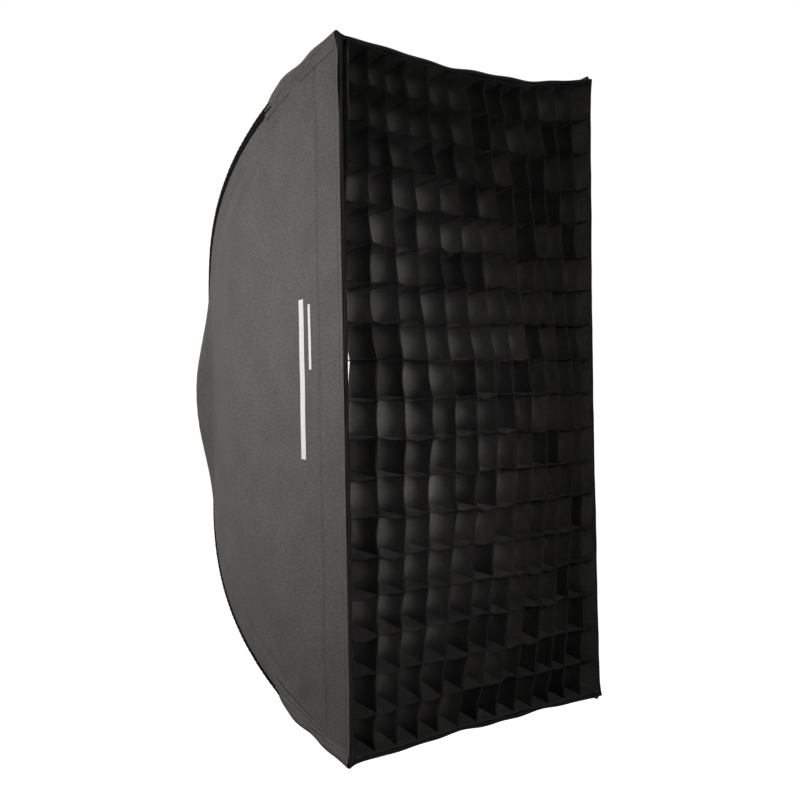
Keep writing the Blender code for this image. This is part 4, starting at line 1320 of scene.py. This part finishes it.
def dim_room():
    """A dim room, brightest from the upper left, that the camera sees as white."""
    world = bpy.data.worlds.new("studio")
    scene.world = world
    world.use_nodes = True
    tree = world.node_tree
    coords = add_node(tree, "ShaderNodeTexCoord").outputs["Generated"]
    brightest = Vector((-0.75, 0.30, 0.60)).normalized()
    facing = add_node(
        tree, "ShaderNodeVectorMath", {0: coords, 1: brightest}, operation="DOT_PRODUCT"
    )
    strengths = {
        "From Min": -0.6, "From Max": 1.0, "To Min": 0.075, "To Max": 0.155,
        "Value": facing.outputs["Value"],
    }
    room = add_node(tree, "ShaderNodeMapRange", strengths, interpolation_type="SMOOTHSTEP")
    is_camera = add_node(tree, "ShaderNodeLightPath").outputs["Is Camera Ray"]
    choice = {"Factor": is_camera, "A": room.outputs[0], "B": 1.02}
    mix = add_node(tree, "ShaderNodeMix", choice, data_type="FLOAT")
    inputs = {"Color": (1, 1, 1, 1), "Strength": mix.outputs["Result"]}
    set_inputs(tree, tree.nodes["Background"], inputs)


FLOOR_Z, FLOOR_HALF = -0.78, 9.0
FLAT_RADIUS = 6.0  # beyond this the floor curves up gently into the backdrop


def studio_floor():
    bm = bmesh.new()
    bmesh.ops.create_grid(bm, x_segments=24, y_segments=24, size=FLOOR_HALF)
    for vert in bm.verts:
        beyond = max(0.0, math.hypot(vert.co.x, vert.co.y) - FLAT_RADIUS)
        vert.co.z = FLOOR_Z + 0.05 * beyond * beyond
    mesh = bpy.data.meshes.new("studio_floor")
    bm.to_mesh(mesh)
    bm.free()
    mesh.shade_smooth()
    floor = add_object("studio_floor", mesh)
    material = bpy.data.materials.new("pale_floor")
    material.use_nodes = True
    tree = material.node_tree
    shader = tree.nodes["Principled BSDF"]
    set_inputs(tree, shader, {
        "Base Color": (0.88, 0.88, 0.88, 1), "Roughness": 0.9, "Emission Color": (1, 1, 1, 1),
    })
    # pale and glowing to the camera, dark to the light that bounces off it
    is_camera = add_node(tree, "ShaderNodeLightPath").outputs["Is Camera Ray"]
    tones = {"A": (0.10, 0.10, 0.10, 1), "B": (0.90, 0.90, 0.90, 1), "Factor": is_camera}
    tone = add_node(tree, "ShaderNodeMix", tones, data_type="RGBA")
    glow = add_node(tree, "ShaderNodeMath", {0: is_camera, 1: 0.95}, operation="MULTIPLY")
    set_inputs(tree, shader, {
        "Base Color": tone.outputs["Result"], "Emission Strength": glow.outputs[0],
    })
    mesh.materials.append(material)


def area_light(name, location, target, size, power):
    data = bpy.data.lights.new(name, "AREA")
    data.shape = "RECTANGLE"
    data.size, data.size_y = size
    data.energy = power
    lamp = bpy.data.objects.new(name, data)
    lamp.location = location
    lamp.rotation_mode = "QUATERNION"
    aim = Vector(target) - Vector(location)
    lamp.rotation_quaternion = aim.to_track_quat("-Z", "Y")
    scene.collection.objects.link(lamp)


def add_camera():
    """A long lens at the front left, a little above the axis."""
    data = bpy.data.cameras.new("camera")
    data.sensor_width = 36
    data.lens = 108.7812
    camera = add_object("camera", data)
    right = Vector((0.53385, -0.84540, -0.01744))
    up = Vector((0.02682, -0.00368, 0.99963))
    forward = Vector((0.84515, 0.53412, -0.02071))
    place = Matrix.Translation((-2.33418, -1.36911 + FRONT_Y, 0.05082))
    camera.matrix_world = place @ Matrix((right, up, -forward)).transposed().to_4x4()
    scene.camera = camera


dim_room()
studio_floor()
# close on the left side
area_light(
    "key_light", location=(-0.76, 0.19, 0.15), target=(-0.2, 0.03, 0.11), size=(0.3, 0.3), power=3.45
)
# onto the grid, from the front left
area_light(
    "grid_light", location=(-1.15, -2.25, 0.55), target=(-0.02, -0.18, 0.07), size=(0.5, 0.5),
    power=10.5,
)
# from above, behind and to the right
area_light("back_fill", location=(1.2, 2.4, 1.4), target=(0, 0, 0), size=(1.6, 1.6), power=36)
# inside the shell, facing out through the front diffuser
area_light(
    "inner_glow", location=(-0.03, FRONT_Y + 0.115, -0.03), target=(-0.03, FRONT_Y - 1, -0.03),
    size=(0.34, 0.50), power=12.5,
)
add_camera()
